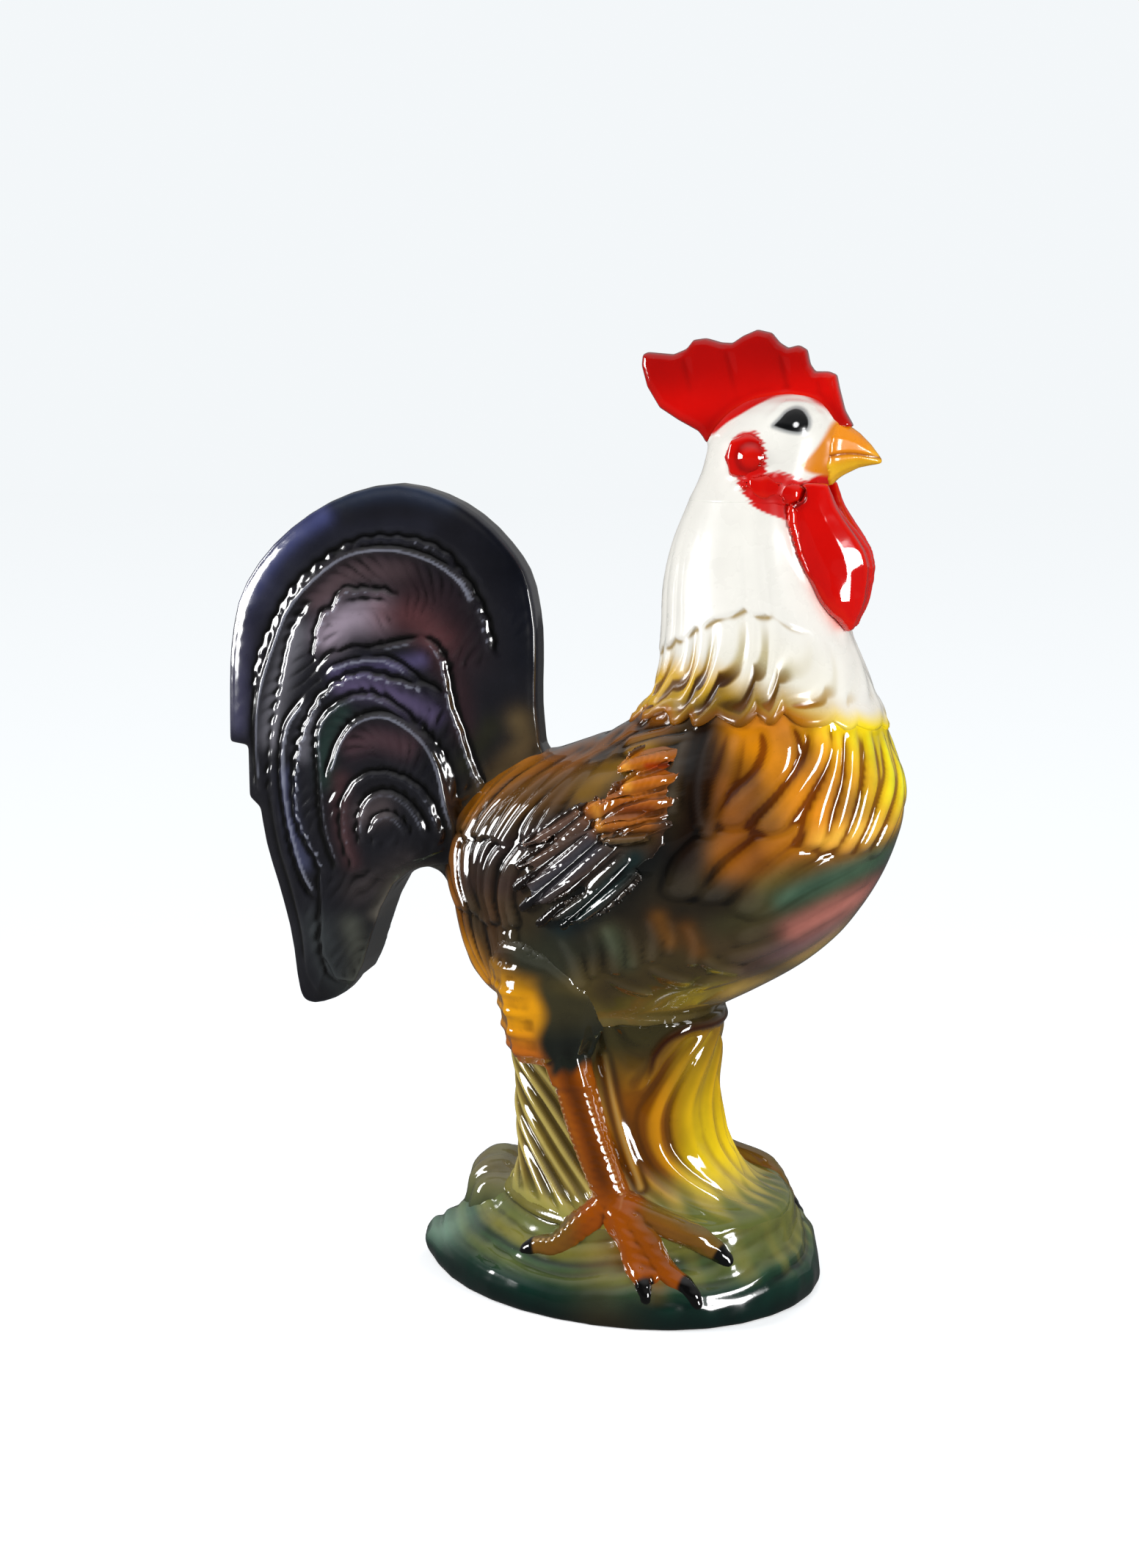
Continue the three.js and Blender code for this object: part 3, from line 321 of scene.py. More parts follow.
def paint_mound(place, facing, depth):
    x, y, z = place.T
    layer = swirl(place) % 1
    seam = 0.75 * (bump(layer, 1, 0.1) + bump(layer, 0, 0.06))
    out = np.hypot((x - MOUND_MIDDLE) / 64, y / 50)
    outer = ramp(out, 0.5, 0.7)
    web = bump(measure(place[:, :2], np.array(WEB, float))[0], 0, 3.5) * ramp(z, 7, 10)
    streaks = runs(round_mound(place)[1]) * ramp(x, 12, 36)
    return coats(
        tint(KHAKI),
        (OLIVE, ramp(out, 0.35, 0.6)),
        (GRASS_GREEN, ramp(out + 0.1 * np.sin(2 * math.pi * swirl(place)), 0.6, 0.9)),
        (POOL_GREEN, ramp(16 - z + 2 * depth, 1, 8)),
        (BOTTLE_GREEN, ramp(10 - z, 0, 8)),
        (BOTTLE_GREEN, seam * outer),
        (SEAM_BROWN, seam * (1 - outer)),
        (PALE_OLIVE, 0.4 * bump(layer, 0.4, 0.25) * ramp(z, 9, 15)),
        # painted shade: darker in the grooves between the grass layers
        (0.45, 0.8 * ramp(-depth, 0.02, 0.2)),
        (FOOT_BROWN, 0.5 * bump(np.hypot(x - MOUND_MIDDLE, y + 38), 0, 10)),
        (WEB_BROWN, 0.8 * web),
        (RUNNY_OLIVE, 0.4 * np.maximum(streaks, 0) * ramp(z, 10, 16)),
        (0.5, 0.4 * np.maximum(-streaks, 0) * outer),
        (SKIRT_OLIVE, 0.8 * (1 - ramp(skirt(place), 0.98, 1.25)) * ramp(x, 5, 25)),
        # a pale green painted highlight on the mound's left lobe
        (LOBE_HIGHLIGHT_GREEN, 0.75 * bump(np.hypot(x + 62, y + 12), 0, 13) * ramp(z, 5, 12)),
        (BARE_CLAY, ramp(-facing[:, 2], 0.7, 0.95)),
    )


mound = skin_over("base_mound", MOUND_GRAIN, passes=26)
raise_relief(mound, mound_relief)
fire("mound", mound, paint_mound, glaze("moss_glaze", drift=0.24, dull=0.12), "moss_glaze", "base_mound")


# Tuft of grass behind the column
# A few arching blades in one sprig, set where the column meets the mound at the back. Their
# olive glaze is thick and rounds them off.

TUFT_GRAIN = 0.6
MOSS_GREEN = (40, 62, 44)
DRY_OLIVE = (116, 116, 76)
TIP_BROWN = (132, 112, 96)
TUFT_SHADOW = (46, 42, 22)
TUFT_BLADES = [  # how far each blade leans back, its place across the tuft, its height and its girth
    (15, 0.1, 23, 5),
    (18, 0.3, 27, 5.5),
    (19, 0.52, 28.5, 5.5),
    (17, 0.74, 26, 5.5),
    (13, 0.92, 21, 5),
]


def curve(table, at):
    """Smooth values between a table's rows, whose first number says where a row stands."""
    rows = np.array(table, float)
    stand, values = rows[:, 0], rows[:, 1:]
    at = np.clip(np.asarray(at, float), stand[0], stand[-1])
    i = np.clip(np.searchsorted(stand, at) - 1, 0, len(stand) - 2)
    slope = np.gradient(values, stand, axis=0)
    span = (stand[i + 1] - stand[i])[..., None]
    t = (at - stand[i])[..., None] / span
    made = (2 * t**3 - 3 * t**2 + 1) * values[i] + (t**3 - 2 * t**2 + t) * span * slope[i]
    made += (3 * t**2 - 2 * t**3) * values[i + 1] + (t**3 - t**2) * span * slope[i + 1]
    return np.moveaxis(made, -1, 0)


def line_through(points, steps=7):
    """Close points on a smooth line through the given ones."""
    given = np.array(points, float)
    table = np.column_stack([np.arange(len(given)), given])
    return curve(table, np.linspace(0, len(given) - 1, steps * (len(given) - 1) + 1)).T


def add_limb(form, spine, girth):
    """A round limb along a spine, as close beads that the remesh melts together."""
    line = line_through(spine, 9)
    for share, centre in zip(np.linspace(0, 1, len(line)), line):
        radius = np.interp(share, np.linspace(0, 1, len(girth)), girth)
        there = Matrix.Translation(Vector(centre * MM))
        bmesh.ops.create_icosphere(form, subdivisions=2, radius=radius * MM, matrix=there)


def surface_of(mesh):
    """A mesh's surface as a tree that finds its nearest place, or where a line meets it."""
    form = bmesh.new()
    form.from_mesh(mesh)
    tree = BVHTree.FromBMesh(form)
    form.free()
    return tree


def lute(first, second, reach):
    """Fills the seam between two pieces with slip: near each other, both rise to meet in a soft hollow."""
    moved = []
    for mesh, tree in ((first, surface_of(second)), (second, surface_of(first))):
        place, facing = points_of(mesh)
        other = points_of(second if mesh is first else first)[0]
        near = ((place > other.min(0) - reach) & (place < other.max(0) + reach)).all(1)
        swell = np.zeros(len(place))
        for i in np.flatnonzero(near):
            gap = tree.find_nearest(place[i] * MM, reach * MM)[3]
            if gap is not None:
                swell[i] = (reach - gap / MM) ** 2 / (2.2 * reach)
        moved.append(place + facing * evened(mesh, swell[:, None], 2 + 3 * int(reach)))
    move_points(first, moved[0])
    move_points(second, moved[1])


def paint_tuft(place, facing, depth):
    height = place[:, 2]
    return coats(
        tint(MOSS_GREEN),
        (DRY_OLIVE, ramp(height, 12, 28)),
        (TIP_BROWN, 0.4 * bump(height, 30, 4)),
        (TUFT_SHADOW, 0.7 * ramp(-depth, 0.02, 0.5)),
    )


def shape_tuft(form):
    """Replaces the blades of the casting by rounder ones, swollen by their glaze."""
    form.clear()
    low, high = (np.array(corner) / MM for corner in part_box("rear_tuft"))
    for lean, across, height, girth in TUFT_BLADES:
        aside = low[1] + across * (high[1] - low[1])
        root = np.array([high[0] - 4, aside, low[2] + 3])
        top = np.array([high[0] - 4 - 0.4 * lean, aside, height])
        tip = np.array([high[0] - 3 - lean, aside, low[2] + 4])
        side = 0.5 * (top + tip) + (-0.16 * lean, 0, 4)
        add_limb(form, [root, top, side, tip], [girth, girth, 0.9 * girth, 0.7 * girth])


tuft = skin_over("rear_tuft", TUFT_GRAIN, passes=12, shape=shape_tuft)
lute(tuft, mound, reach=5)
fire("grass_tuft", tuft, paint_tuft, glaze("tuft_glaze"), "straw_glaze", "rear_tuft")


# Grass column
# The hollow pillar of standing grass that carries the body. Its blades fall in long S-shaped
# folds, bright yellow at the front where the glaze is thin and amber to khaki behind.

COLUMN_FOOT, COLUMN_TOP = (corner.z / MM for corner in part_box("grass_column"))
COLUMN_REAR, COLUMN_LENGTH, COLUMN_DEPTH = -36, 66, 49
COLUMN_ROWS = [  # share of the height, then back, front and half width
    (0, 0, 1.33, 1.4),
    (0.08, 0.005, 1.2, 1.26),
    (0.16, 0.01, 1.13, 1.17),
    (0.3, 0.005, 1.055, 1.07),
    (0.45, 0, 1.02, 1.02),
    (0.6, -0.005, 1, 1),
    (0.8, -0.03, 1.01, 1.02),
    (1, -0.05, 1.02, 1.05),
]
FOLD_COUNT = 22
FOLD_RISE = 2
FOLD_LEAN = [  # height, and how far round the folds have bowed back there
    (8, 1), (20, 0.7), (28, 0.43), (37, 0.16), (48, 0), (57, 0), (68, 0.14), (77, 0.32), (86, 0.6), (92, 0.8),
]
LIP = [(9, 70), (12.3, 74.3), (14.1, 79.5), (18.2, 84.6), (24.4, 87), (33, 86.5)]  # its rolled upper edge
EGG = 0.1  # how much wider a body section is in front than behind
TENDON = [(-1.5, 79), (1.8, 62), (6.3, 48), (10.6, 38)]  # side view of the ridge in front of the shank
TENDON_RISE = 0.9
STRAW_YELLOW = (250, 216, 24)
STRAW_SHADE = (184, 150, 30)
STRAW_HIGHLIGHT = (196, 176, 96)
AMBER = (206, 138, 12)
AMBER_BROWN = (134, 76, 4)
AMBER_SHADE = (92, 50, 4)
OLIVE_BROWN = (118, 98, 40)
OLIVE_SHADE = (66, 52, 18)
UPPER_BROWN = (120, 92, 30)
TENDON_SHADE = (84, 50, 16)
TENDON_LIGHT = (190, 150, 80)
BELLY_SHADE = (84, 72, 30)
LIP_SHADE = (58, 52, 26)
LIP_BROWN = (52, 22, 8)
FOOT_GREEN = (124, 128, 52)
SPREAD_GREEN = (98, 106, 50)


def side_view(place):
    return place[:, [0, 2]]


def egg(section, angle, height):
    """Points of egg-shaped sections, given as back, front and half width, at angles from the front."""
    back, front, half = section
    x = (back + front) / 2 + (front - back) / 2 * np.cos(angle)
    y = half * np.sin(angle) * (1 + EGG * np.cos(angle))
    return np.stack([x, y, height + 0 * x], -1)


def column_section(z):
    back, front, half = curve(COLUMN_ROWS, (z - COLUMN_FOOT) / (COLUMN_TOP - COLUMN_FOOT))
    return COLUMN_REAR + back * COLUMN_LENGTH, COLUMN_REAR + front * COLUMN_LENGTH, half * COLUMN_DEPTH / 2


def body_form(name, around, up, place):
    """A closed body from one grid: place(angle, share) puts its columns round it and its rows up it."""
    form = bmesh.new()
    bmesh.ops.create_grid(form, x_segments=around, y_segments=up, size=1)
    mesh = bpy.data.meshes.new(name)
    form.to_mesh(mesh)
    flat = points_of(mesh)[0] * MM
    move_points(mesh, place(math.pi * (flat[:, 0] + 1), (flat[:, 1] + 1) / 2))
    form.clear()
    form.from_mesh(mesh)
    bmesh.ops.remove_doubles(form, verts=form.verts, dist=2e-6)
    bmesh.ops.recalc_face_normals(form, faces=form.faces)
    form.to_mesh(mesh)
    form.free()
    return mesh


def closed(share, low, high, tuck=0.02):
    """Heights from low to high along most of the rows, and how far the end rows draw in to close the body."""
    climb = np.clip((share - tuck) / (1 - 2 * tuck), 0, 1)
    draw = np.clip(np.maximum(tuck - share, share - 1 + tuck) / tuck, 0, 1)
    return low + climb * (high - low), draw


def column_place(angle, share):
    z, draw = closed(share, COLUMN_FOOT - 3, COLUMN_TOP + 1)
    place = egg(column_section(z), angle, z)
    middle = np.stack([0 * z + COLUMN_REAR + COLUMN_LENGTH / 2, 0 * z, z], -1)
    return place + (middle - place) * draw[:, None]


def column_fold(place):
    """Phase of the folds: in front they bow back between belly and foot, behind they slant down forwards."""
    back, front, half = column_section(place[:, 2])
    along = (place[:, 0] - (back + front) / 2) / ((front - back) / 2)
    turn = np.arctan2(np.abs(place[:, 1]) / half, along)
    rise = (place[:, 2] - COLUMN_FOOT) / (COLUMN_TOP - COLUMN_FOOT)
    lean = curve(FOLD_LEAN, place[:, 2])[0]
    lean += (0.034 * (48 - place[:, 2]) - lean) * ramp(turn, 1.05, 2)
    return FOLD_COUNT * (turn + lean) / (2 * math.pi) + 0.3 * np.sin(3.1 * turn + 2 * rise), rise, turn


def column_relief(place, facing):
    phase, rise = column_fold(place)[:2]
    crest = (0.5 - 0.5 * np.cos(2 * math.pi * phase)) ** 0.8
    fine = 0.12 * np.cos(2 * math.pi * 2 * phase + 1)
    reach = FOLD_RISE * (0.75 + 0.35 * np.sin(2.1 * np.floor(phase) + 1))
    edge = measure(side_view(place), line_through(LIP))[0]
    lip = 1.5 * bump(edge, 0, 1.6) * ramp(place[:, 0], 8, 14)
    folds = (reach * (crest - 0.6) + fine) * ramp(rise, -0.02, 0.12) * ramp(edge, 1, 4)
    tendon = measure(side_view(place), line_through(TENDON))[0]
    return folds * ramp(tendon, 0.5, 3) + lip + TENDON_RISE * bump(tendon, 0, 1.1)


def paint_column(place, facing, depth):
    rise, turn = column_fold(place)[1:]
    x, y, z = place.T
    front = ramp(x - 0.12 * (60 - z) * (z < 60), 15, 27)
    middle = ramp(x, -6, 2)
    groove = ramp(-depth, 0, 0.4)
    tendon = measure(side_view(place), line_through(TENDON))[0]
    lip, _, side = measure(side_view(place), line_through(LIP))
    spreading = ramp(skirt(place) + 0.12 * runs(turn), 0.72, 1.02)
    return coats(
        tint(OLIVE_BROWN),
        # painted highlight: paler straw on the raised folds
        (STRAW_HIGHLIGHT, ramp(depth, 0, 0.45)),
        (AMBER_BROWN, middle),
        # painted highlight: lighter amber on the raised folds in the middle
        (AMBER, 0.9 * middle * ramp(depth, 0.02, 0.45)),
        (UPPER_BROWN, 0.7 * middle * ramp(rise, 0.55, 0.9)),
        (STRAW_YELLOW, front * ramp(-rise, -1.1, -0.1)),
        (STRAW_SHADE, 0.75 * front * groove),
        (AMBER_SHADE, 0.9 * middle * (1 - front) * groove),
        (OLIVE_SHADE, 0.85 * (1 - middle) * groove),
        (KHAKI, 0.9 * ramp(-rise, -0.3, -0.06) * ramp(x, -22, 20)),
        (TENDON_SHADE, 0.9 * bump(tendon, 1.9, 1.1)),
        (TENDON_LIGHT, 0.9 * bump(tendon, 0, 0.7)),
        (BELLY_SHADE, 0.8 * ramp(rise, 0.86, 0.97) * (1 - ramp(x, 8, 16))),
        (LIP_SHADE, ramp(side * lip, -0.5, 1.5) * ramp(rise, 0.62, 0.95)),
        (LIP_BROWN, bump(lip, 0, 1.7) * ramp(x, 9, 14)),
        (FOOT_GREEN, 0.8 * ramp(-rise, -0.14, 0.02)),
        (SPREAD_GREEN, spreading * ramp(-z, -44, -30) * ramp(x, 5, 25)),
    )


column = body_form("grass_column_form", around=400, up=150, place=column_place)
raise_relief(column, column_relief)
lute(column, mound, reach=7)
lute(column, tuft, reach=3)
fire(
    "column", column, paint_column,
    glaze("straw_glaze"), "straw_glaze", "grass_column", depths=((14, 0.6), (70, 0.5)),
)


# Torso
# The hollow body casting, from the belly to the hem of the neck feathers. Saddle strands run back
# to the tail, broad feathers cover the breast, and airbrushed bands of colour cross the belly.

BELLY, SHOULDER = (corner.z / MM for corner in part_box("torso"))
TORSO_LENGTH, TORSO_WIDTH, TORSO_REAR = 144, 89, -57.5
TORSO_ROWS = [  # share of the height, then back and front as shares of the length, and half width
    (0, 0.149, 0.58, 0.54),
    (0.04, 0.094, 0.628, 0.63),
    (0.1, 0.052, 0.705, 0.72),
    (0.18, 0.028, 0.795, 0.83),
    (0.27, 0.014, 0.868, 0.92),
    (0.36, 0.003, 0.917, 0.978),
    (0.46, 0, 0.958, 1),
    (0.56, 0.017, 0.986, 0.989),
    (0.64, 0.052, 1, 0.966),
    (0.72, 0.108, 1, 0.933),
    (0.78, 0.184, 0.992, 0.9),
    (0.84, 0.305, 0.976, 0.854),
    (0.9, 0.396, 0.962, 0.81),
    (0.96, 0.444, 0.947, 0.764),
    (1, 0.462, 0.934, 0.742),
]
BREAST_FEATHERS = [  # way round from the middle of the breast and height, root to tip; half width; lift
    ([(18, 124), (28, 116), (37, 110), (44, 106)], 4, 0.35),
    ([(16, 131), (29, 125), (37, 119), (44, 115)], 4, 0.4),
    ([(11, 140), (27, 134), (36, 128), (44, 123)], 4.2, 0.45),
    ([(13, 150), (29, 145), (39, 139.5), (44.5, 132)], 4.4, 0.6),
    ([(28, 158), (39, 150), (46, 142), (47, 133)], 4.2, 0.7),
    ([(40, 163), (47, 153), (51.5, 145), (55, 137)], 4.2, 0.8),
    ([(50, 170), (55, 157), (60, 147), (61, 138)], 4.2, 0.9),
    ([(-2, 177), (4, 164), (12, 155), (17, 147)], 3.3, 1.0),
    ([(9, 183), (12, 169), (19, 159), (24, 149)], 3.3, 1.1),
    ([(21, 185), (22.5, 172), (26.5, 161), (30, 149)], 3.4, 1.1),
    ([(30, 186), (30.5, 174), (32.5, 163), (35, 151)], 3.4, 1.2),
    ([(37.5, 186), (37.5, 171), (39, 161), (39, 152)], 3.2, 1.3),
    ([(45, 188), (43, 178), (45.5, 169), (49, 158)], 4.2, 1.4),
    ([(63, 189), (56, 180), (53.5, 170), (57, 160)], 4.6, 1.5),
]
SHOULDER_STRANDS = [  # side-view lines of the narrow feathers between breast and wing, and their half widths
    ([(25, 184), (22.5, 172), (22, 161)], 2),
    ([(40, 186), (38, 173), (35.5, 164), (33, 155)], 2.6),
    ([(33, 186), (30, 175), (30, 164), (31, 157)], 1.5),
    ([(26, 184.5), (14.8, 180.5), (5, 177.5)], 1.5),
    ([(27, 181.5), (14.8, 178), (6, 175.4)], 1.4),
]
FLANK_TUFTS = [  # side-view lines of the soft tufts below the wing, and their half widths
    ([(-14, 120), (-9.5, 113), (-7, 105)], 2.6),
    ([(-4, 124), (-2, 116), (-2.5, 108)], 1.8),
    ([(1, 126), (4, 119), (4.5, 110)], 2.4),
    ([(9, 126), (11, 118), (10.5, 112)], 1.7),
    ([(15, 129), (17, 122), (16, 115)], 2.2),
    ([(21.5, 129), (23, 124), (21.5, 117)], 1.5),
    ([(26.5, 127), (29, 121), (28, 114)], 2),
    ([(14, 113), (19, 109), (25, 107)], 2.2),
    ([(30, 116), (35, 112), (41, 110)], 2.4),
    ([(0, 108), (7, 104), (13, 102)], 1.8),
]
STRAND_ROWS = [  # side-view lines of roots and of tips; number of strands; bow, half width and lift of each
    ([(-30, 126), (-37, 126), (-44, 126), (-53, 127)],
     [(-25, 107), (-31, 103), (-37, 100), (-42, 97)], 7, 0.12, 2.3, 1.3),
    ([(-21, 145), (-29, 148), (-38, 150), (-46, 151), (-53, 150)],
     [(-28, 121), (-34.5, 121.5), (-40, 122), (-45, 122), (-51, 122)], 8, 0.16, 2.2, 1.8),
    ([(13, 188), (6, 182), (-3, 178), (-13, 174), (-24, 171), (-36, 168)],
     [(-18, 151), (-26, 148.5), (-33, 147), (-40.5, 147), (-47, 146.5), (-53, 145)], 15, 0.08, 2.1, 1.6),
]
EARTH_BROWN = (58, 48, 30)
WARM_SHADE = np.array([0.36, 0.24, 0.15])  # what is left of the breast's colour in its grooves


def torso_section(z):
    back, front, half = curve(TORSO_ROWS, (z - BELLY) / (SHOULDER - BELLY))
    return TORSO_REAR + back * TORSO_LENGTH, TORSO_REAR + front * TORSO_LENGTH, half * TORSO_WIDTH / 2


def torso_place(angle, share):
    z, draw = closed(share, BELLY, SHOULDER)
    place = egg(torso_section(z), angle, z)
    back, front = torso_section(z)[:2]
    middle = np.stack([(back + front) / 2, 0 * z, z], -1)
    return place + (middle - place) * draw[:, None]


def lay_feather(rise, points, spine, width, lift, edge=0.3, barb=0.0, pitch=1.6, fade=0.25):
    """Lays one feather over a field of heights: a round-topped leaf with barbs and an edge."""
    line = line_through(spine, 5)
    low, high = line.min(0) - 1.6 * width, line.max(0) + 1.6 * width
    near = ((points > low) & (points < high)).all(1)
    if not near.any():
        return
    length = np.linalg.norm(np.diff(line, axis=0), axis=1).sum()
    gap, passed = measure(points[near], line)[:2]
    share = passed / length
    half = width * (0.72 + 0.55 * share - 0.42 * share**3)
    across = gap / half
    body = lift * (0.5 + 0.5 * share) * (1 - 0.9 * np.clip(across, 0, 1) ** 2)
    body += barb * np.cos(2 * math.pi * (passed - 0.9 * gap) / pitch) * ramp(1 - across, 0.05, 0.4)
    cover = (1 - ramp(across, 1 - edge, 1 + edge)) * ramp(share, 0, fade)
    crease = -0.22 * lift * bump(across, 1 + edge, 0.2) * ramp(share, 0, fade)
    rise[near] = rise[near] * (1 - cover) + body * cover + crease


def lay_between(rise, points, roots, ends, count, bow, width, lift):
    """Lays a row of slender strands from one line to another, each bowed to one side."""
    dice = np.random.default_rng(count)
    starts, stops = line_through(roots, 12), line_through(ends, 12)
    for share in np.linspace(0, 1, count):
        a = starts[int(share * (len(starts) - 1))] + dice.uniform(-1, 1, 2)
        b = stops[int(share * (len(stops) - 1))] + dice.uniform(-1.5, 1.5, 2)
        run = b - a
        aside = np.array([run[1], -run[0]]) * bow * dice.uniform(0.7, 1.3)
        spine = [a, a + 0.35 * run + aside, a + 0.72 * run + 0.9 * aside, b]
        half, height = width * dice.uniform(0.8, 1.2), lift * dice.uniform(0.7, 1.1)
        lay_feather(rise, points, spine, half, height, edge=0.22, fade=0.06)


def torso_girth(place):
    """Distance round the body from the middle of the breast, to the left or right."""
    back, front, half = torso_section(place[:, 2])
    along = (place[:, 0] - (back + front) / 2) / ((front - back) / 2)
    return np.arctan2(np.abs(place[:, 1]) / half, along) * TORSO_WIDTH / 2


def torso_relief(place, facing):
    view = side_view(place)
    rise = np.zeros(len(place))
    breast = np.column_stack([torso_girth(place), place[:, 2]])
    for spine, width, lift in BREAST_FEATHERS:
        lay_feather(rise, breast, spine, width, 1.35 * lift)
    for spine, width in FLANK_TUFTS:
        lay_feather(rise, view, spine, width, 0.3 * width, edge=0.5)
    for roots, tips, count, bow, width, lift in STRAND_ROWS:
        lay_between(rise, view, roots, tips, count, bow, width, lift)
    for spine, width in SHOULDER_STRANDS:
        lay_feather(rise, view, spine, width, 1.0)
    inside = ramp(place[:, 2], BELLY + 0.2, BELLY + 4)
    return 0.1 + (rise - 0.45) * inside


def airbrushed(colour, place, sprays, strength=1.0):
    """A coat of one colour, with side-view strokes sprayed over it that fade out at their reach."""
    coat = np.tile(tint(colour), (len(place), 1))
    for line, reach, shade, cover in sprays:
        gap = measure(side_view(place), line_through(line, 4) if len(line) > 2 else np.array(line, float))[0]
        coat = mix(coat, tint(shade), strength * cover * bump(gap, 0, reach))
    return coat


PLUMAGE_SPRAYS = [  # side-view line, reach, colour and cover, in the order of painting
    ([(-10, 95), (20, 98), (42, 106)], 11, (112, 96, 44), 1),
    ([(0, 102), (14, 108), (30, 112)], 6, (66, 54, 30), 0.9),
    ([(38, 98), (52, 105), (70, 115)], 5, (200, 158, 66), 0.95),
    ([(46, 111), (58, 116), (74, 123)], 5, (120, 92, 98), 0.95),
    ([(58, 124), (67, 128), (80, 133)], 4.4, (188, 116, 104), 0.9),
    # painted highlight: a pale yellow stroke along the lower edge of the belly
    ([(40, 101), (56, 108), (70, 116), (80, 124)], 3.6, (238, 196, 92), 0.95),
    ([(52, 108), (42, 114), (36, 122)], 7, (66, 52, 34), 0.8),
    ([(54, 134), (64, 138), (75, 142), (90, 145)], 4.2, (64, 94, 74), 0.95),
    ([(38, 128), (48, 132)], 5.5, (64, 60, 34), 0.9),
    ([(50, 140), (60, 145)], 4, (92, 84, 36), 0.7),
    ([(40, 148), (56, 151), (72, 153)], 6, (176, 104, 14), 0.95),
    ([(66, 153), (78, 154), (88, 156)], 4.5, (226, 172, 60), 0.9),
    ([(36, 168), (40, 158), (42, 148)], 7, (126, 70, 8), 0.95),
    ([(42, 184), (52, 174), (62, 162)], 9, (208, 128, 8), 1),
    ([(48, 188), (62, 182), (70, 172)], 5, (190, 112, 6), 0.8),
    ([(70, 182), (76, 172), (86, 160)], 7, (232, 160, 26), 0.8),
    ([(70, 190), (78, 184), (86, 174), (88, 166)], 8, (255, 226, 0), 1),
    ([(10, 130), (24, 130), (36, 134)], 7, (34, 28, 18), 0.95),
    ([(0, 148), (10, 142), (20, 148)], 8, (20, 24, 24), 0.95),
    ([(2, 138), (-4, 130), (-12, 122)], 6, (24, 44, 48), 0.95),
    ([(-16, 116), (-6, 116), (4, 120)], 4.5, (44, 46, 34), 0.8),
    ([(19, 128), (22, 121)], 3, (124, 78, 24), 0.6),
    ([(27, 125), (30, 118)], 3, (112, 68, 20), 0.6),
    ([(4, 122), (8, 113)], 3.5, (74, 82, 60), 0.6),
    ([(30, 188), (29, 176), (29, 162), (27, 148)], 6.5, (24, 12, 5), 1),
    # painted shade: a dark brown stroke down the left side of the breast
    ([(46, 168), (44, 158), (48, 146)], 3.5, (110, 60, 6), 0.7),
    ([(14, 184), (0, 178), (-14, 172), (-27, 169)], 5, (132, 74, 8), 0.9),
    ([(-6, 166), (-20, 160), (-34, 157)], 5.5, (84, 54, 16), 0.9),
    ([(-30, 170), (-40, 163), (-50, 153)], 5.5, (158, 94, 8), 0.9),
    ([(12, 176), (1, 169.5), (-6, 163)], 4, (132, 96, 22), 0.9),
    ([(-14, 152), (-28, 146), (-42, 140)], 6, (38, 28, 28), 0.95),
    ([(-28, 134), (-38, 132), (-50, 132)], 6, (48, 32, 26), 0.95),
    ([(-53, 140), (-53, 124), (-49, 108)], 4, (124, 72, 14), 0.9),
    ([(-36, 124), (-36, 116), (-33, 108)], 6, (70, 46, 24), 0.9),
    ([(-48, 106), (-40, 98), (-30, 96)], 6, (190, 124, 14), 1),
    ([(-24, 112), (-14, 110)], 7, (44, 46, 34), 0.95),
]


def paint_plumage(place, facing, depth):
    coat = airbrushed(EARTH_BROWN, place, PLUMAGE_SPRAYS)
    front = ramp(place[:, 0] + 0.3 * (place[:, 2] - 150), 30, 44)
    low = 1 - ramp(place[:, 2], 138, 154)
    # painted shade: grooves darkened nearly to black behind the breast, and to WARM_SHADE on the breast
    coat = mix(coat, coat * 0.12, 0.95 * ramp(-depth, 0, 0.28) * (1 - front))
    coat = mix(coat, coat * WARM_SHADE, front * (1 - 0.55 * low) * ramp(-depth, 0, 0.25))
    # painted highlight: raised parts of the feathers lightened
    return mix(coat, np.minimum(coat * 1.5 + 0.02, 1), 0.55 * ramp(depth, 0.08, 0.5))


torso = body_form("torso_form", around=430, up=220, place=torso_place)
raise_relief(torso, torso_relief, soften=1)
lute(torso, column, reach=3)
fire(
    "body", torso, paint_plumage,
    glaze("plumage_glaze", drift=0.28), "plumage_glaze", "torso", depths=((14, 0.6), (70, 0.5)),
)


# Neck and cape
# The neck casting with its two tiers of hackle feathers: a smooth fluted one under the jaw, and a
# cape below it whose feathers hook back at their tips over the shoulders. White, running into gold.

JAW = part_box("hackle_neck")[1].z / MM + 0.3
HEAD_REAR, HEAD_LENGTH, HEAD_WIDTH = 19, 45, 39
NECK_ROWS = [  # share of the height, then how far back, front and half width have gone from shoulder to jaw
    (0, 0, 0, 0),
    (0.16, 0.18, 0.2, 0.185),
    (0.27, 0.22, 0.35, 0.33),
    (0.37, 0.23, 0.49, 0.46),
    (0.54, 0.23, 0.75, 0.63),
    (0.78, 0.5, 0.97, 0.815),
    (1, 1, 1, 1),
]
CAPE_FEATHERS = 20
CAPE_TURN = 0.09  # how far a feather hooks back on its way down, as a share of a full turn
CAPE_HEM = [(0, 181), (40, 184), (75, 187), (100, 185.5), (125, 184.5), (150, 184), (180, 180)]
UPPER_HEM = [(0, 206), (30, 207), (53, 211.5), (66, 215), (83, 217.3), (100, 216), (119, 211.5),
             (140, 207.5), (162, 204), (180, 202.5)]
FACE_TOP = [(10, 262), (22, 266), (26.4, 268.4), (31.2, 272.2), (35.6, 274.7), (40.4, 277.5), (44.7, 279.5),
            (49.5, 280.2), (53.4, 280), (56.5, 278.8), (60, 276.5), (62.2, 274.1), (66, 270), (66, 300),
            (10, 300)]
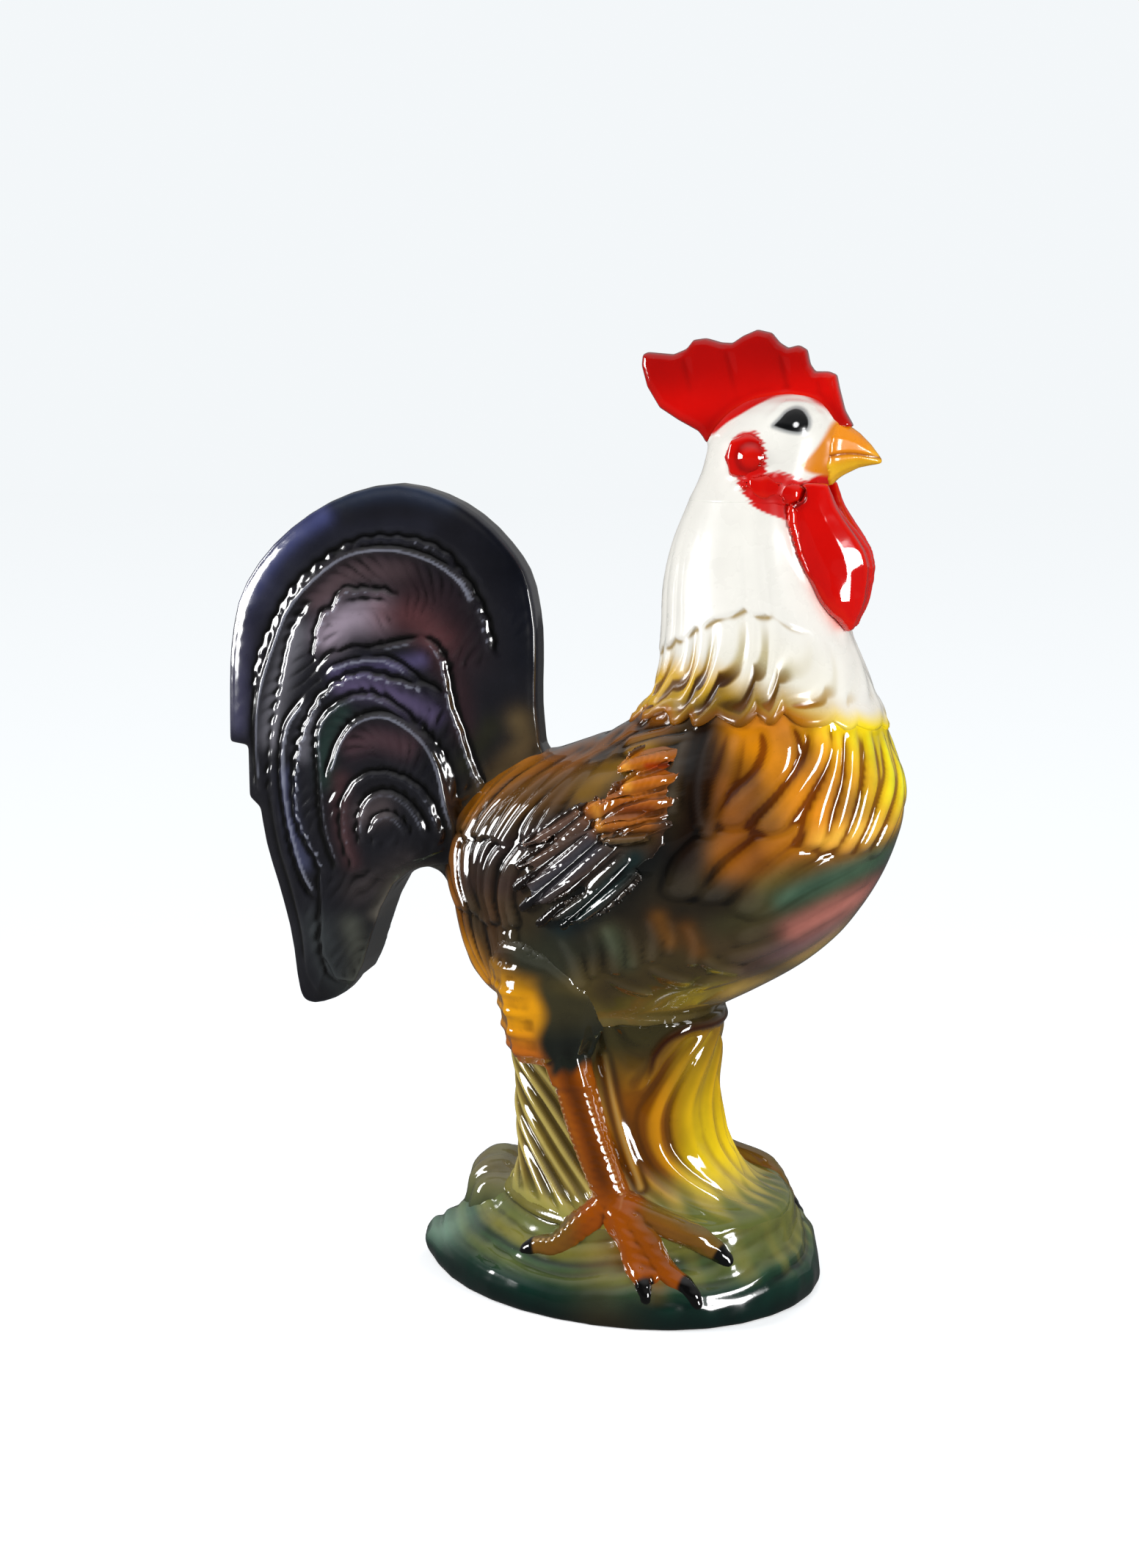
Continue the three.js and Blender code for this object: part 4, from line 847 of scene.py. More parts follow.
CHEEK = [(39.4, 270), (36, 269.2), (34, 267), (33.2, 263), (34.6, 258.7), (38.6, 251.9), (43.1, 247.2),
         (48.4, 245.1), (52, 243.4), (58, 241), (70, 240), (70, 256), (62.5, 257.8), (58.5, 256.8),
         (56, 255.5), (52.5, 257.1), (48.1, 258.4), (45.1, 257.9), (44.8, 263.1), (43.4, 267.3),
         (41.2, 269.8)]
FLUTES = 15  # soft folds of the upper tier round half the neck
CREAM = (244, 242, 234)
WARM_CREAM = (236, 228, 196)
CREAM_SHADE = (180, 162, 92)
FLUTE_SHADE = (186, 188, 180)
HEM_OCHRE = (160, 128, 36)
TIP_GOLD = (222, 176, 44)
TIP_AMBER = (196, 120, 8)
GROOVE_BROWN = (138, 92, 12)
NAPE_BROWN = (150, 82, 10)
UMBER = (56, 28, 6)
BREAST_YELLOW = (255, 226, 0)
SCARLET = (212, 8, 3)
STAIN_RED = (236, 70, 30)
WATTLE_SEAM = [(52.5, 245), (54, 238), (57.5, 229), (62, 220), (66.5, 213.5)]  # red creeps off it


def neck_section(z):
    low = torso_section(np.minimum(z, SHOULDER))
    high = (HEAD_REAR, HEAD_REAR + 0.878 * HEAD_LENGTH, HEAD_WIDTH / 2)
    shares = curve(NECK_ROWS, (z - SHOULDER) / (JAW - SHOULDER))
    return [a + (b - a) * share for a, b, share in zip(low, high, shares)]


def turn_from_breast(angle):
    """The way round the neck from the middle of the breast, to the left or right, in radians."""
    return np.abs(np.arctan2(np.sin(angle), np.cos(angle)))


def hem_height(table, angle):
    return curve(table, np.degrees(turn_from_breast(angle)))[0]


def cape_phase(angle, down):
    """Counts the cape's feathers round the neck, from the breast back; they hook back as they go down."""
    round_share = turn_from_breast(angle) / (2 * math.pi)
    wander = 0.16 * np.sin(9 * round_share * 2 * math.pi) + 0.1 * np.sin(23 * round_share)
    return CAPE_FEATHERS * (round_share - CAPE_TURN * down**2) + wander


def cape_hem(angle):
    """Height of the cape's hem: a hooked point at the tip of each feather, softer at the breast."""
    feather = cape_phase(angle, 1) % 1
    tip = np.abs(2 * feather - 1)
    return hem_height(CAPE_HEM, angle) + (1 + 1.9 * ramp(-np.cos(angle), -1, -0.2)) * tip**1.4


def flute_phase(angle):
    round_share = turn_from_breast(angle) / (2 * math.pi)
    return FLUTES * round_share + 0.3 * np.sin(31 * round_share) + 0.2


def upper_hem(angle):
    flute = flute_phase(angle) % 1
    return hem_height(UPPER_HEM, angle) + 1.3 * np.abs(2 * flute - 1) ** 1.6


def neck_place(angle, share):
    z, draw = closed(share, 0, 1, 0.03)
    hem = cape_hem(angle)
    z = hem + z * (JAW + 2 - hem)
    draw = np.maximum(draw, 0.09 * np.clip(z - JAW, 0, 2))
    place = egg(neck_section(z), angle, z)
    middle = np.stack([0.5 * (place[:, 0] + 30), 0.25 * place[:, 1], z + 0 * z], -1)
    return place + (middle - place) * draw[:, None]


def neck_angle(place):
    back, front, half = neck_section(place[:, 2])
    return np.arctan2(place[:, 1] / half, (place[:, 0] - (back + front) / 2) / ((front - back) / 2))


def neck_relief(place, facing):
    angle = neck_angle(place)
    hem, tier = cape_hem(angle), upper_hem(angle)
    aside = ramp(-np.cos(angle), -0.92, -0.3)
    down = np.clip((tier - place[:, 2]) / (tier - hem), 0, 1)
    feather = cape_phase(angle, down) % 1
    crest = 0.5 - 0.5 * np.cos(2 * math.pi * feather)
    lower = (0.15 + 1.0 * down**2) * (0.3 + 0.7 * aside)
    ridge = 1.7 * (crest - 0.5) * (0.45 + 0.55 * down) + 0.3 * bump(feather, 0.5, 0.2) * down**4
    lower += (0.35 + 0.65 * aside) * ridge
    up = np.clip((place[:, 2] - tier) / (JAW - tier), 0, 1)
    flute = (flute_phase(angle) + 0.15 * np.sin(5 * up)) % 1
    upper = 0.75 * aside * (1 - up) ** 2.5
    upper += 0.55 * (1 - np.abs(2 * flute - 1) ** 1.7 - 0.5) * (1 - up) ** 0.9 * (0.3 + 0.7 * aside)
    fold = ramp(place[:, 2] - tier, -0.5, 0.5)
    return lower * (1 - fold) + upper * fold


def inside_of(points, ring):
    """Whether each point lies inside a closed line."""
    hit = np.zeros(len(points), bool)
    for a, b in zip(ring, np.roll(ring, -1, 0)):
        if a[1] == b[1]:
            continue
        crosses = (a[1] > points[:, 1]) != (b[1] > points[:, 1])
        hit ^= crosses & (points[:, 0] < (b[0] - a[0]) * (points[:, 1] - a[1]) / (b[1] - a[1]) + a[0])
    return hit


def within(place, corners, soft=0.5, steps=4):
    """1 inside a closed side-view outline, 0 outside it, with an edge that is soft millimetres wide."""
    ring = line_through(list(corners) + [corners[0]], steps)
    gap = measure(side_view(place), ring)[0]
    inside = inside_of(side_view(place), ring[:-1])
    return ramp(np.where(inside, gap, -gap), -soft / 2, soft / 2)


def face_red(place):
    """Share of red on the head and neck: what the comb and the cheek leave, ragged where it was brushed."""
    x, y, z = place.T
    ragged = 0.35 * np.sin(3.1 * z + 1.3 * x) + 0.25 * np.sin(5.3 * z - 2 * x)
    brushed = place + ragged[:, None] * np.array([1, 0, 0.5])
    return np.maximum(within(place, FACE_TOP, 0.9), within(brushed, CHEEK, 1.1))


def paint_neck(place, facing, depth):
    x, y, z = place.T
    angle = neck_angle(place)
    hem, tier = cape_hem(angle), upper_hem(angle)
    down = np.clip((tier - z) / (tier - hem), 0, 1)
    behind = ramp(-x, -54, -12)
    ahead = ramp(x, 58, 76)
    groove = ramp(-depth, -0.06, 0.22)
    shadow = bump(x, 34, 20) * ramp(down + 0.2 * groove, 0.58, 0.84) * (1 - 0.25 * ramp(depth, 0.1, 0.5))
    tier_line = bump(z - tier, -0.7, 0.9) * (1 - ramp(x, 50, 60))
    stain = bump(measure(side_view(place), line_through(WATTLE_SEAM))[0], 0, 2) * ramp(x, 44, 48)
    return coats(
        tint(CREAM),
        (WARM_CREAM, 0.6 * down * (1 - ahead)),
        (CREAM_SHADE, 0.7 * groove * ramp(down, 0.02, 0.4) * (1 - 0.9 * ahead)),
        (TIP_GOLD, ramp(down + 0.5 * behind + 0.12 * groove, 0.6, 0.98) * (1 - 0.8 * ahead)),
        # painted shade: brown in the grooves of the lower cape
        (GROOVE_BROWN, groove * ramp(down + 0.4 * behind, 0.5, 0.85) * (1 - ahead)),
        (TIP_AMBER, ramp(down + 0.1 * groove, 0.86, 1) * (1 - ahead)),
        (BREAST_YELLOW, ahead * ramp(down, 0.76, 1)),
        (UMBER, 0.95 * shadow),
        (NAPE_BROWN, 0.8 * ramp(-x, -20, -10) * ramp(down, 0.8, 1)),
        (FLUTE_SHADE, 0.4 * ramp(-depth, 0.03, 0.3) * (down <= 0)),
        # painted shade: an ochre line in the groove under the upper tier's hem
        (HEM_OCHRE, 0.85 * tier_line * ramp(-depth, -0.12, 0.12)),
        (STAIN_RED, 0.8 * stain),
        (SCARLET, face_red(place)),
    )


cream_glaze = glaze("cream_glaze", drift=0.04, speckle=0.03, clear=0.5, dull=0.2)
neck = body_form("neck_form", around=480, up=200, place=neck_place)
raise_relief(neck, neck_relief, soften=3)
lute(neck, torso, reach=2)
fire("neck_cape", neck, paint_neck, cream_glaze, "cream_glaze", "hackle_neck", depths=((14, 0.7), (60, 0.5)))


# Head
# A smooth skull with both almond eyes standing a little proud, painted black with a white glint.
# Red is sprayed down from the comb, and as a patch from the ear along the jaw to the wattles.

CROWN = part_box("head")[1].z / MM
HEAD_ROWS = [  # share of the height, then back and front as shares of the length, and half width
    (0, 0, 0.878, 1),
    (0.16, 0.056, 0.933, 0.95),
    (0.28, 0.089, 0.967, 0.915),
    (0.44, 0.118, 0.989, 0.89),
    (0.6, 0.144, 1, 0.85),
    (0.72, 0.2, 0.989, 0.77),
    (0.84, 0.29, 0.944, 0.64),
    (0.94, 0.42, 0.867, 0.42),
    (1, 0.56, 0.76, 0.12),
]
EYE = [(46.6, 271.6), (48.4, 273.5), (50.1, 275.5), (52.3, 276.5), (54.4, 276), (56, 274.1), (56.5, 272),
       (55.8, 270.4), (54.1, 269.8), (51.5, 270.1), (48.9, 270.8)]
BROW = [(45, 273.5), (50, 278.3), (55, 278.4), (58.5, 275)]
GLINT = (53.1, 271.9)
BEAK_SPRAY = [(63, 274), (60.2, 267.2), (57, 262.6), (54.6, 260.2), (57, 258), (62, 257), (70, 258),
              (70, 266), (66, 272)]
SOCKET_GREY = (120, 124, 128)
EYE_BLACK = (5, 6, 8)
GLINT_WHITE = (254, 254, 254)
BEAK_ORANGE = (228, 136, 12)


def head_place(angle, share):
    z, draw = closed(share, JAW - 2, CROWN, 0.03)
    draw = np.maximum(draw, 0.04 * np.clip(JAW - z, 0, 2))
    back, front, half = curve(HEAD_ROWS, (z - JAW) / (CROWN - JAW))
    section = HEAD_REAR + back * HEAD_LENGTH, HEAD_REAR + front * HEAD_LENGTH, half * HEAD_WIDTH / 2
    place = egg(section, angle, z)
    middle = np.stack([0 * z + HEAD_REAR + 0.66 * HEAD_LENGTH, 0 * z, z], -1)
    return place + (middle - place) * draw[:, None]


def head_relief(place, facing):
    eye = within(place, EYE, 3.5)
    brow = bump(measure(side_view(place), line_through(BROW))[0], 0, 1.3)
    return 0.1 + (0.8 * eye + 0.45 * brow) * ramp(np.abs(facing[:, 1]), 0.3, 0.6)


def paint_head(place, facing, depth):
    aside = ramp(np.abs(place[:, 1]), 4, 7)
    socket = measure(side_view(place), line_through(EYE + EYE[:1], 3))[0]
    glint = np.hypot(place[:, 0] - GLINT[0], place[:, 2] - GLINT[1])
    return coats(
        tint(CREAM),
        (SOCKET_GREY, 0.75 * (1 - ramp(socket, 0.2, 1.5))),
        (SCARLET, face_red(place)),
        (BEAK_ORANGE, within(place, BEAK_SPRAY, 1.6)),
        (EYE_BLACK, within(place, EYE, 0.45) * aside),
        (GLINT_WHITE, (1 - ramp(glint, 0.55, 0.95)) * aside),
    )


head = body_form("head_form", around=360, up=170, place=head_place)
raise_relief(head, head_relief)
fire("head_cast", head, paint_head, cream_glaze, "cream_glaze", "head")


# Comb, wattles and earlobes
# Thick sprigs of clay luted to the head, all in the same scarlet glaze, painted paler orange on
# their raised parts as a painted highlight and darker crimson in their hollows as painted shade.

RED_GRAIN = 0.4
COMB_NOTCHES = [17.5, 31, 47, 56.5]
EARLOBE_AT, EARLOBE_SIZE = (40.4, 262.4), 3.6
CRIMSON = (120, 2, 2)
RAISED_RED_HIGHLIGHT = (228, 30, 8)
COMB_CRIMSON = (150, 6, 5)
LOBE_CRIMSON = (130, 3, 2)


def paint_red(place, facing, depth):
    # painted shade: crimson in the hollows; painted highlight: paler red on raised parts
    return coats(
        tint(SCARLET), (CRIMSON, 0.85 * ramp(-depth, 0, 0.25)), (RAISED_RED_HIGHLIGHT, 0.5 * ramp(depth, 0.06, 0.3))
    )


def comb_relief(place, facing):
    folds = sum(bump(place[:, 0] - 0.25 * (290 - place[:, 2]), notch, 1.8) for notch in COMB_NOTCHES)
    return (0.2 - 0.7 * folds * ramp(place[:, 2], 276, 291)) * np.abs(facing[:, 1])


def paint_comb(place, facing, depth):
    low = bump(place[:, 2], 277 + 0.12 * (place[:, 0] - 20), 8)
    return mix(paint_red(place, facing, depth), tint(COMB_CRIMSON), 0.7 * (1 - low))


scarlet_glaze = glaze("scarlet_glaze", drift=0.07, speckle=0.02)
comb = skin_over("comb", RED_GRAIN, passes=8)
raise_relief(comb, comb_relief)
lute(comb, head, reach=2)
fire("comb_sprig", comb, paint_comb, scarlet_glaze, "red_glaze", "comb")


def out_from_lobe(place):
    """Side-view distance from the middle of the earlobe, in sizes of it."""
    return np.hypot(place[:, 0] - EARLOBE_AT[0], place[:, 2] - EARLOBE_AT[1]) / EARLOBE_SIZE


def earlobe_relief(place, facing):
    """A round lobe in a shallow ring, with the cheek sinking away below it."""
    out = out_from_lobe(place)
    lobe = 0.9 * np.clip(1 - out**2, 0, 1) - 0.45 * bump(out, 1.3, 0.3)
    cheek = 0.55 * np.cos(0.7 * place[:, 0] + 0.5) * ramp(out, 1.6, 2.2)
    return -0.5 + (lobe + cheek) * ramp(np.abs(facing[:, 1]), 0.2, 0.6)


def paint_earlobe(place, facing, depth):
    # painted shade: darker crimson in the ring groove round the lobe
    ring = bump(out_from_lobe(place), 1.15, 0.3)
    return mix(paint_red(place, facing, depth), tint(LOBE_CRIMSON), 0.5 * ring)


def wattle_relief(place, facing):
    swell = (0.1 + 0.2 * ramp(place[:, 2], 222, 234)) * (place[:, 0] - 61)
    swell += 1.4 * bump(np.hypot(place[:, 0] - 66, 0.8 * (place[:, 2] - 219)), 0, 6)
    return 0.2 + swell * ramp(np.abs(facing[:, 1]), 0.2, 0.7)


for side in ("right", "left"):
    wattle = skin_over(f"{side}_wattle", RED_GRAIN, passes=24)
    raise_relief(wattle, wattle_relief)
    lute(wattle, head, reach=2)
    lute(wattle, neck, reach=4)
    fire(f"{side}_wattle_sprig", wattle, paint_red, scarlet_glaze, "red_glaze", f"{side}_wattle")
    earlobe = skin_over(f"{side}_earlobe", RED_GRAIN, passes=24)
    raise_relief(earlobe, earlobe_relief, soften=4)
    lute(earlobe, head, reach=2)
    fire(f"{side}_earlobe_sprig", earlobe, paint_earlobe, scarlet_glaze, "red_glaze", f"{side}_earlobe")


# Beak
# A short hooked sprig, orange on top and yellow below a moulded gape. Its glaze is sprayed on and
# fades into the white of the face and the red of the throat.

BEAK_GRAIN = 0.35
GAPE = [(54, 260.6), (61.5, 262.6), (68.5, 263.4), (77, 262)]
LOWER_YELLOW = (252, 196, 36)
UPPER_ORANGE = (244, 146, 10)
TIP_YELLOW = (250, 188, 20)
ROOT_ORANGE = (226, 110, 4)
GAPE_BROWN = (150, 70, 4)


def beak_relief(place, facing):
    gape = measure(side_view(place), line_through(GAPE))[0]
    return 0.2 - 0.55 * bump(gape, 0, 0.5) * ramp(np.abs(facing[:, 1]), 0.3, 0.7)


def paint_beak(place, facing, depth):
    x, y, z = place.T
    gape = measure(side_view(place), line_through(GAPE))[0]
    return coats(
        tint(LOWER_YELLOW),
        (UPPER_ORANGE, ramp(z, 260, 264)),
        (TIP_YELLOW, ramp(x, 71, 78)),
        (ROOT_ORANGE, 0.7 * bump(z, 262, 1.6) * ramp(-x, -70, -60)),
        (GAPE_BROWN, 0.85 * bump(gape, 0, 0.45)),
    )


beak = skin_over("beak", BEAK_GRAIN, passes=8)
raise_relief(beak, beak_relief)
lute(beak, head, reach=3)
beak_glaze = glaze("beak_glaze", drift=0.06, speckle=0.03, clear=0.6, dull=0.18)
fire("beak_sprig", beak, paint_beak, beak_glaze, "amber_glaze", "beak")


# Tail
# A tall plate of nested sickle feathers, pressed in a mould of its own. Each feather has a thin
# raised rim and curved barbs, under a nearly black glaze whose blue, mauve and green strokes are
# partly its colour and partly painted sheen.

TAIL_GRAIN = 0.66
RIM_RISE = 1.0
MIDNIGHT = (24, 24, 34)
EDGE_BLUE = (18, 20, 30)
RIM_HIGHLIGHT = (168, 172, 190)
OUTLINE = [(-27, 170), (-28.2, 184), (-28.1, 198), (-28.6, 210), (-31, 223.8), (-36.8, 234), (-46.3, 243),
           (-58.2, 249.7), (-73.9, 252.8), (-89.8, 250.1), (-104.8, 242.3), (-117.6, 231.6), (-126.9, 217.2),
           (-130.6, 202.8), (-131.5, 188.3), (-132, 169.3)]
RIMS = [  # side-view lines of the feathers' rims from root to tip, their height and how beaded they are
    ([(-42, 198.5), (-44.5, 211), (-49.5, 222), (-57, 231), (-66.5, 235), (-81, 235.5), (-93, 231),
      (-105.5, 221), (-112, 211.5), (-118.5, 197.5), (-121.5, 184)], 0.8, 1),
    ([(-48, 213), (-50, 221), (-57, 227.5), (-66.5, 231.5), (-76.5, 233), (-88.5, 231), (-98.5, 224.5),
      (-108.5, 214), (-115, 199.5), (-119.5, 185.5), (-121, 171), (-120.5, 153)], 0.9, 0),
    ([(-70, 216.5), (-76.5, 219), (-86, 219.5), (-90.5, 218.5), (-91.5, 215), (-96, 211.5), (-98, 205),
      (-99, 195)], 0.8, 1),
    ([(-72, 214.5), (-78, 216), (-86, 215.5), (-90, 213.5)], 0.6, 0),
    ([(-62, 205), (-72, 203), (-80.5, 201), (-86.5, 200.5), (-94, 198), (-99.5, 193)], 0.9, 0),
    ([(-55, 186.5), (-60, 189), (-65, 192), (-70, 195.5), (-75, 198), (-80, 198.6), (-86.5, 197.5),
      (-93, 195), (-96.5, 191)], 0.9, 0.4),
    ([(-46.5, 153), (-46, 158.5), (-48.5, 164.5), (-52, 176), (-55, 185), (-57.5, 198), (-61, 203.5),
      (-66, 205.5)], 0.9, 0.3),
    ([(-60, 185), (-64, 189), (-68, 191), (-72, 191.5), (-82, 193.5), (-88, 192), (-95, 187.5), (-99, 182.5),
      (-103, 174), (-105.5, 165), (-106.5, 150), (-104.5, 143), (-100.5, 136), (-95.5, 126.5)], 0.8, 1),
    ([(-50.5, 140), (-52.5, 147), (-54, 155), (-56.5, 166.5), (-62.5, 175.5), (-71, 182.5), (-79.5, 186.5),
      (-87, 185.5), (-94.5, 180.5), (-97.5, 174.5), (-97, 162.5), (-96.5, 150.5), (-95, 141),
      (-90.5, 129)], 0.8, 0.2),
    ([(-53, 141), (-55.5, 152), (-58, 164), (-62.5, 173), (-70, 179), (-77, 181), (-84.5, 178.5),
      (-89.5, 172.5), (-92.5, 165), (-95, 158)], 0.9, 0),
    ([(-57, 141), (-60, 152), (-64, 158), (-70, 161.5), (-77.5, 162.5), (-84, 159.5), (-88.5, 152),
      (-88.5, 141), (-85, 131)], 0.7, 0.5),
    ([(-61, 141), (-64, 149), (-69, 154.5), (-75, 156.5), (-80.5, 153.5), (-83, 146), (-81.5, 138)], 0.8, 0),
    ([(-67, 141), (-69.5, 147), (-74, 149.5), (-78, 147), (-79, 142)], 0.8, 0),
    ([(-98.5, 217.5), (-106, 207), (-110, 193), (-114, 173.5), (-115.5, 154.5), (-113.5, 137.5),
      (-109.5, 123.5), (-106, 109), (-105, 96)], 0.5, 0),
    ([(-101, 186), (-108, 178.5), (-110.5, 171.5), (-111.3, 162), (-110.3, 150), (-108, 138), (-104.5, 127),
      (-99, 119)], 1.1, 0),
    ([(-99, 133), (-98, 120), (-98.5, 106), (-96.5, 96), (-91, 90.5)], 0.7, 0),
]


def press_flat(mesh, passes):
    """Evens out the two faces of a plate and leaves its outline alone, ready for a finer relief."""
    place, facing = points_of(mesh)
    flat = evened(mesh, ramp(np.abs(facing[:, 1]), 0.3, 0.75)[:, None], 6)[:, 0]
    thick = evened(mesh, place[:, 1:2], passes)[:, 0]
    place[:, 1] += flat * (thick - place[:, 1]) + 0.5 * flat * np.sign(place[:, 1])
    move_points(mesh, place)


def rim_map(place):
    """Height of the rims, and for each point how far inside a rim it lies, how far round, and which."""
    view = side_view(place)
    rise, inset = np.zeros(len(view)), np.full(len(view), 99.0)
    passed, owner = view[:, 1].copy(), np.zeros(len(view))
    for i, (corners, height, beads) in enumerate([(OUTLINE, 0, 0)] + RIMS):
        line = line_through(corners, 5)
        length = np.linalg.norm(np.diff(line, axis=0), axis=1).sum()
        gap, run, side = measure(view, line)
        ends = ramp(run, 0, 7) * (1 - ramp(run, length - 7, length))
        bead = 1 + beads * (0.2 * np.sin(1.9 * run + i) + 0.15 * np.sin(3.1 * run))
        wobble = gap * side + 0.3 * beads * np.sin(1.1 * run)
        rise += RIM_RISE * height * ends * (bead * bump(wobble, 0, 0.8) - 0.8 * bump(wobble, -2.1, 1.1))
        rise += RIM_RISE * height * 0.3 * ends * (side > 0) * np.exp(-gap / 3.5) * ramp(gap, 0, 1)
        own = (side > 0) & (gap < inset) & (run > 0.5) & (run < length - 0.5)
        inset[own], passed[own], owner[own] = gap[own], run[own], i
    return rise, inset, passed, owner


def tail_relief(place, facing):
    rise, inset, passed, owner = rim_map(place)
    flat = ramp(np.abs(facing[:, 1]), 0.35, 0.8)
    strength = np.where(owner == 0, 0.03, 0.3) * (0.6 + 0.4 * np.sin(0.21 * passed + 2 * owner))
    barbs = np.cos(2 * math.pi * (passed / 5 + 0.36 * inset - 0.008 * inset**2 + 0.15 * np.sin(0.7 * inset)))
    return flat * (0.1 + rise + strength * barbs * ramp(inset, 1.2, 3) * (1 - ramp(inset, 16, 24)))


# the blue, mauve and grey strokes are partly the glaze's colour and partly painted sheen
TAIL_SPRAYS = [  # side-view line, reach, colour and cover
    ([(-40, 240), (-31, 222), (-30, 200)], 7, (8, 14, 30), 1),
    ([(-129, 176), (-126, 205), (-118, 222)], 4.5, (62, 60, 106), 0.8),
    ([(-124, 216), (-112, 232), (-98, 243)], 4, (52, 66, 150), 0.95),
    ([(-92, 249), (-74, 252), (-56, 249)], 3.5, (28, 50, 84), 0.9),
    ([(-121, 212), (-106, 230), (-88, 238), (-64, 240)], 4, (34, 36, 54), 0.8),
    ([(-98, 217), (-86, 226), (-70, 226)], 4.5, (96, 66, 74), 0.85),
    ([(-106, 206), (-112, 190), (-116, 172)], 4, (120, 118, 132), 0.8),
    ([(-66, 222), (-56, 216), (-50, 200)], 7, (48, 26, 34), 0.8),
    ([(-95, 206), (-88, 211), (-78, 213)], 5, (176, 150, 178), 1),
    ([(-76, 213), (-66, 212), (-58, 205)], 5.5, (112, 44, 50), 0.85),
    ([(-58, 200), (-52, 190), (-50, 176)], 4, (60, 24, 34), 0.8),
    ([(-64, 199), (-78, 196), (-92, 194)], 2.6, (72, 58, 120), 0.9),
    ([(-60, 182), (-68, 186), (-78, 190), (-90, 190)], 3.5, (92, 70, 130), 0.85),
    ([(-101, 180), (-104, 168)], 3, (110, 108, 124), 0.7),
    ([(-110, 160), (-109, 146), (-105, 132)], 3, (60, 66, 112), 0.9),
    ([(-90, 182), (-95, 172), (-95, 160)], 3.5, (24, 60, 52), 0.9),
    ([(-86, 172), (-78, 174), (-68, 172)], 4, (90, 50, 62), 0.8),
    ([(-90, 160), (-90, 146), (-87, 134)], 3.5, (84, 38, 44), 0.85),
    ([(-82, 150), (-76, 152)], 4, (112, 92, 96), 0.7),
    ([(-86, 124), (-78, 128), (-68, 134)], 5, (70, 58, 58), 0.8),
    ([(-100, 110), (-96, 96), (-92, 88)], 6, (60, 68, 70), 0.85),
    ([(-88, 112), (-86, 100), (-88, 92)], 4, (92, 96, 80), 0.8),
    ([(-60, 132), (-72, 128), (-80, 116)], 2.5, (118, 110, 92), 0.8),
    ([(-33, 180), (-32, 172), (-44, 158), (-49, 146)], 4.5, (120, 92, 18), 0.95),
    ([(-42, 178), (-50, 166)], 4, (44, 44, 16), 0.9),
]


def paint_tail(place, facing, depth):
    aside = np.abs(facing[:, 1])
    coat = airbrushed(MIDNIGHT, place, TAIL_SPRAYS, 0.85)
    coat = 0.85 * mix(coat, coat.mean(1)[:, None] * np.ones(3), 0.4)
    # painted shade: grooves darkened
    coat = coats(coat, (EDGE_BLUE, 0.6 * ramp(-aside, -0.6, -0.2)), (0.06, ramp(-depth, 0, 0.3)))
    # painted highlight: raised parts lightened
    coat = mix(coat, coat * 1.5 + 0.01, 0.5 * ramp(depth, 0.05, 0.35))
    # painted highlight: pale lines along the crests of the rims
    return mix(coat, tint(RIM_HIGHLIGHT), 0.35 * ramp(rim_map(place)[0], 0.72, 0.95) * ramp(aside, 0.3, 0.6))


midnight_glaze = glaze("midnight_glaze", drift=0.25, dull=0.11)
tail = skin_over("tail", TAIL_GRAIN, passes=10)
press_flat(tail, passes=160)
raise_relief(tail, tail_relief, soften=1)
lute(tail, torso, reach=3)
fire("tail_plate", tail, paint_tail, midnight_glaze, "midnight_glaze", "tail")


# Wings
# Two sprigs on the flanks: plump coverts at the shoulder and long flight feathers that run back
# and down from under them. Brown and orange glaze on the coverts, mauve and blue-grey behind.

WING_GRAIN = 0.36
WING_SINK = 1.0
UMBER_BROWN = (70, 52, 40)
FLIGHTS = [  # side-view spines of the flight feathers, lowest first, and their half widths
    ([(14, 143), (0, 130), (-10, 121)], 2.2),
    ([(11, 148), (-3, 134.5), (-15, 123)], 2.2),
    ([(8, 153), (-6, 140.5), (-20.5, 127)], 2.3),
    ([(5, 158), (-8, 146.2), (-26, 130.5)], 2.5),
    ([(2, 161.5), (-10, 150.5), (-28, 136)], 2.5),
    ([(1, 166), (-12, 154.8), (-28.5, 142)], 2.3),
    ([(1, 170), (-11, 159.5), (-26, 148.5)], 2),
]
COVERTS = [  # side-view spines of the plump covert feathers, lowest first, and their half widths
    ([(16, 152.5), (8, 151.5), (2, 151.5)], 1.8),
    ([(22, 157.5), (10, 157), (0.7, 155)], 2.9),
    ([(22, 180), (6, 172.5), (-5.5, 162.7)], 3.4),
    ([(25, 163), (10.3, 163.4), (-2.4, 159.6)], 3.7),
    ([(26, 170), (16.8, 169.4), (8, 166.8)], 3.1),
    ([(26, 177), (15.9, 175.5), (6.2, 171.8)], 3.1),
]


def wing_relief(place, facing):
    view, rise = side_view(place), np.zeros(len(place))
    for spine, width in FLIGHTS:
        lay_feather(rise, view, spine, width, 1.5, edge=0.3, barb=0.04, pitch=2.4, fade=0.1)
    for spine, width in COVERTS:
        lay_feather(rise, view, spine, width, 2.2, barb=0.1, pitch=2.2, fade=0.1)
    rise *= 1 - 0.9 * ramp(place[:, 0], 17, 25)
    return ramp(np.abs(facing[:, 1]), 0.2, 0.6) * (rise - 0.2) - WING_SINK


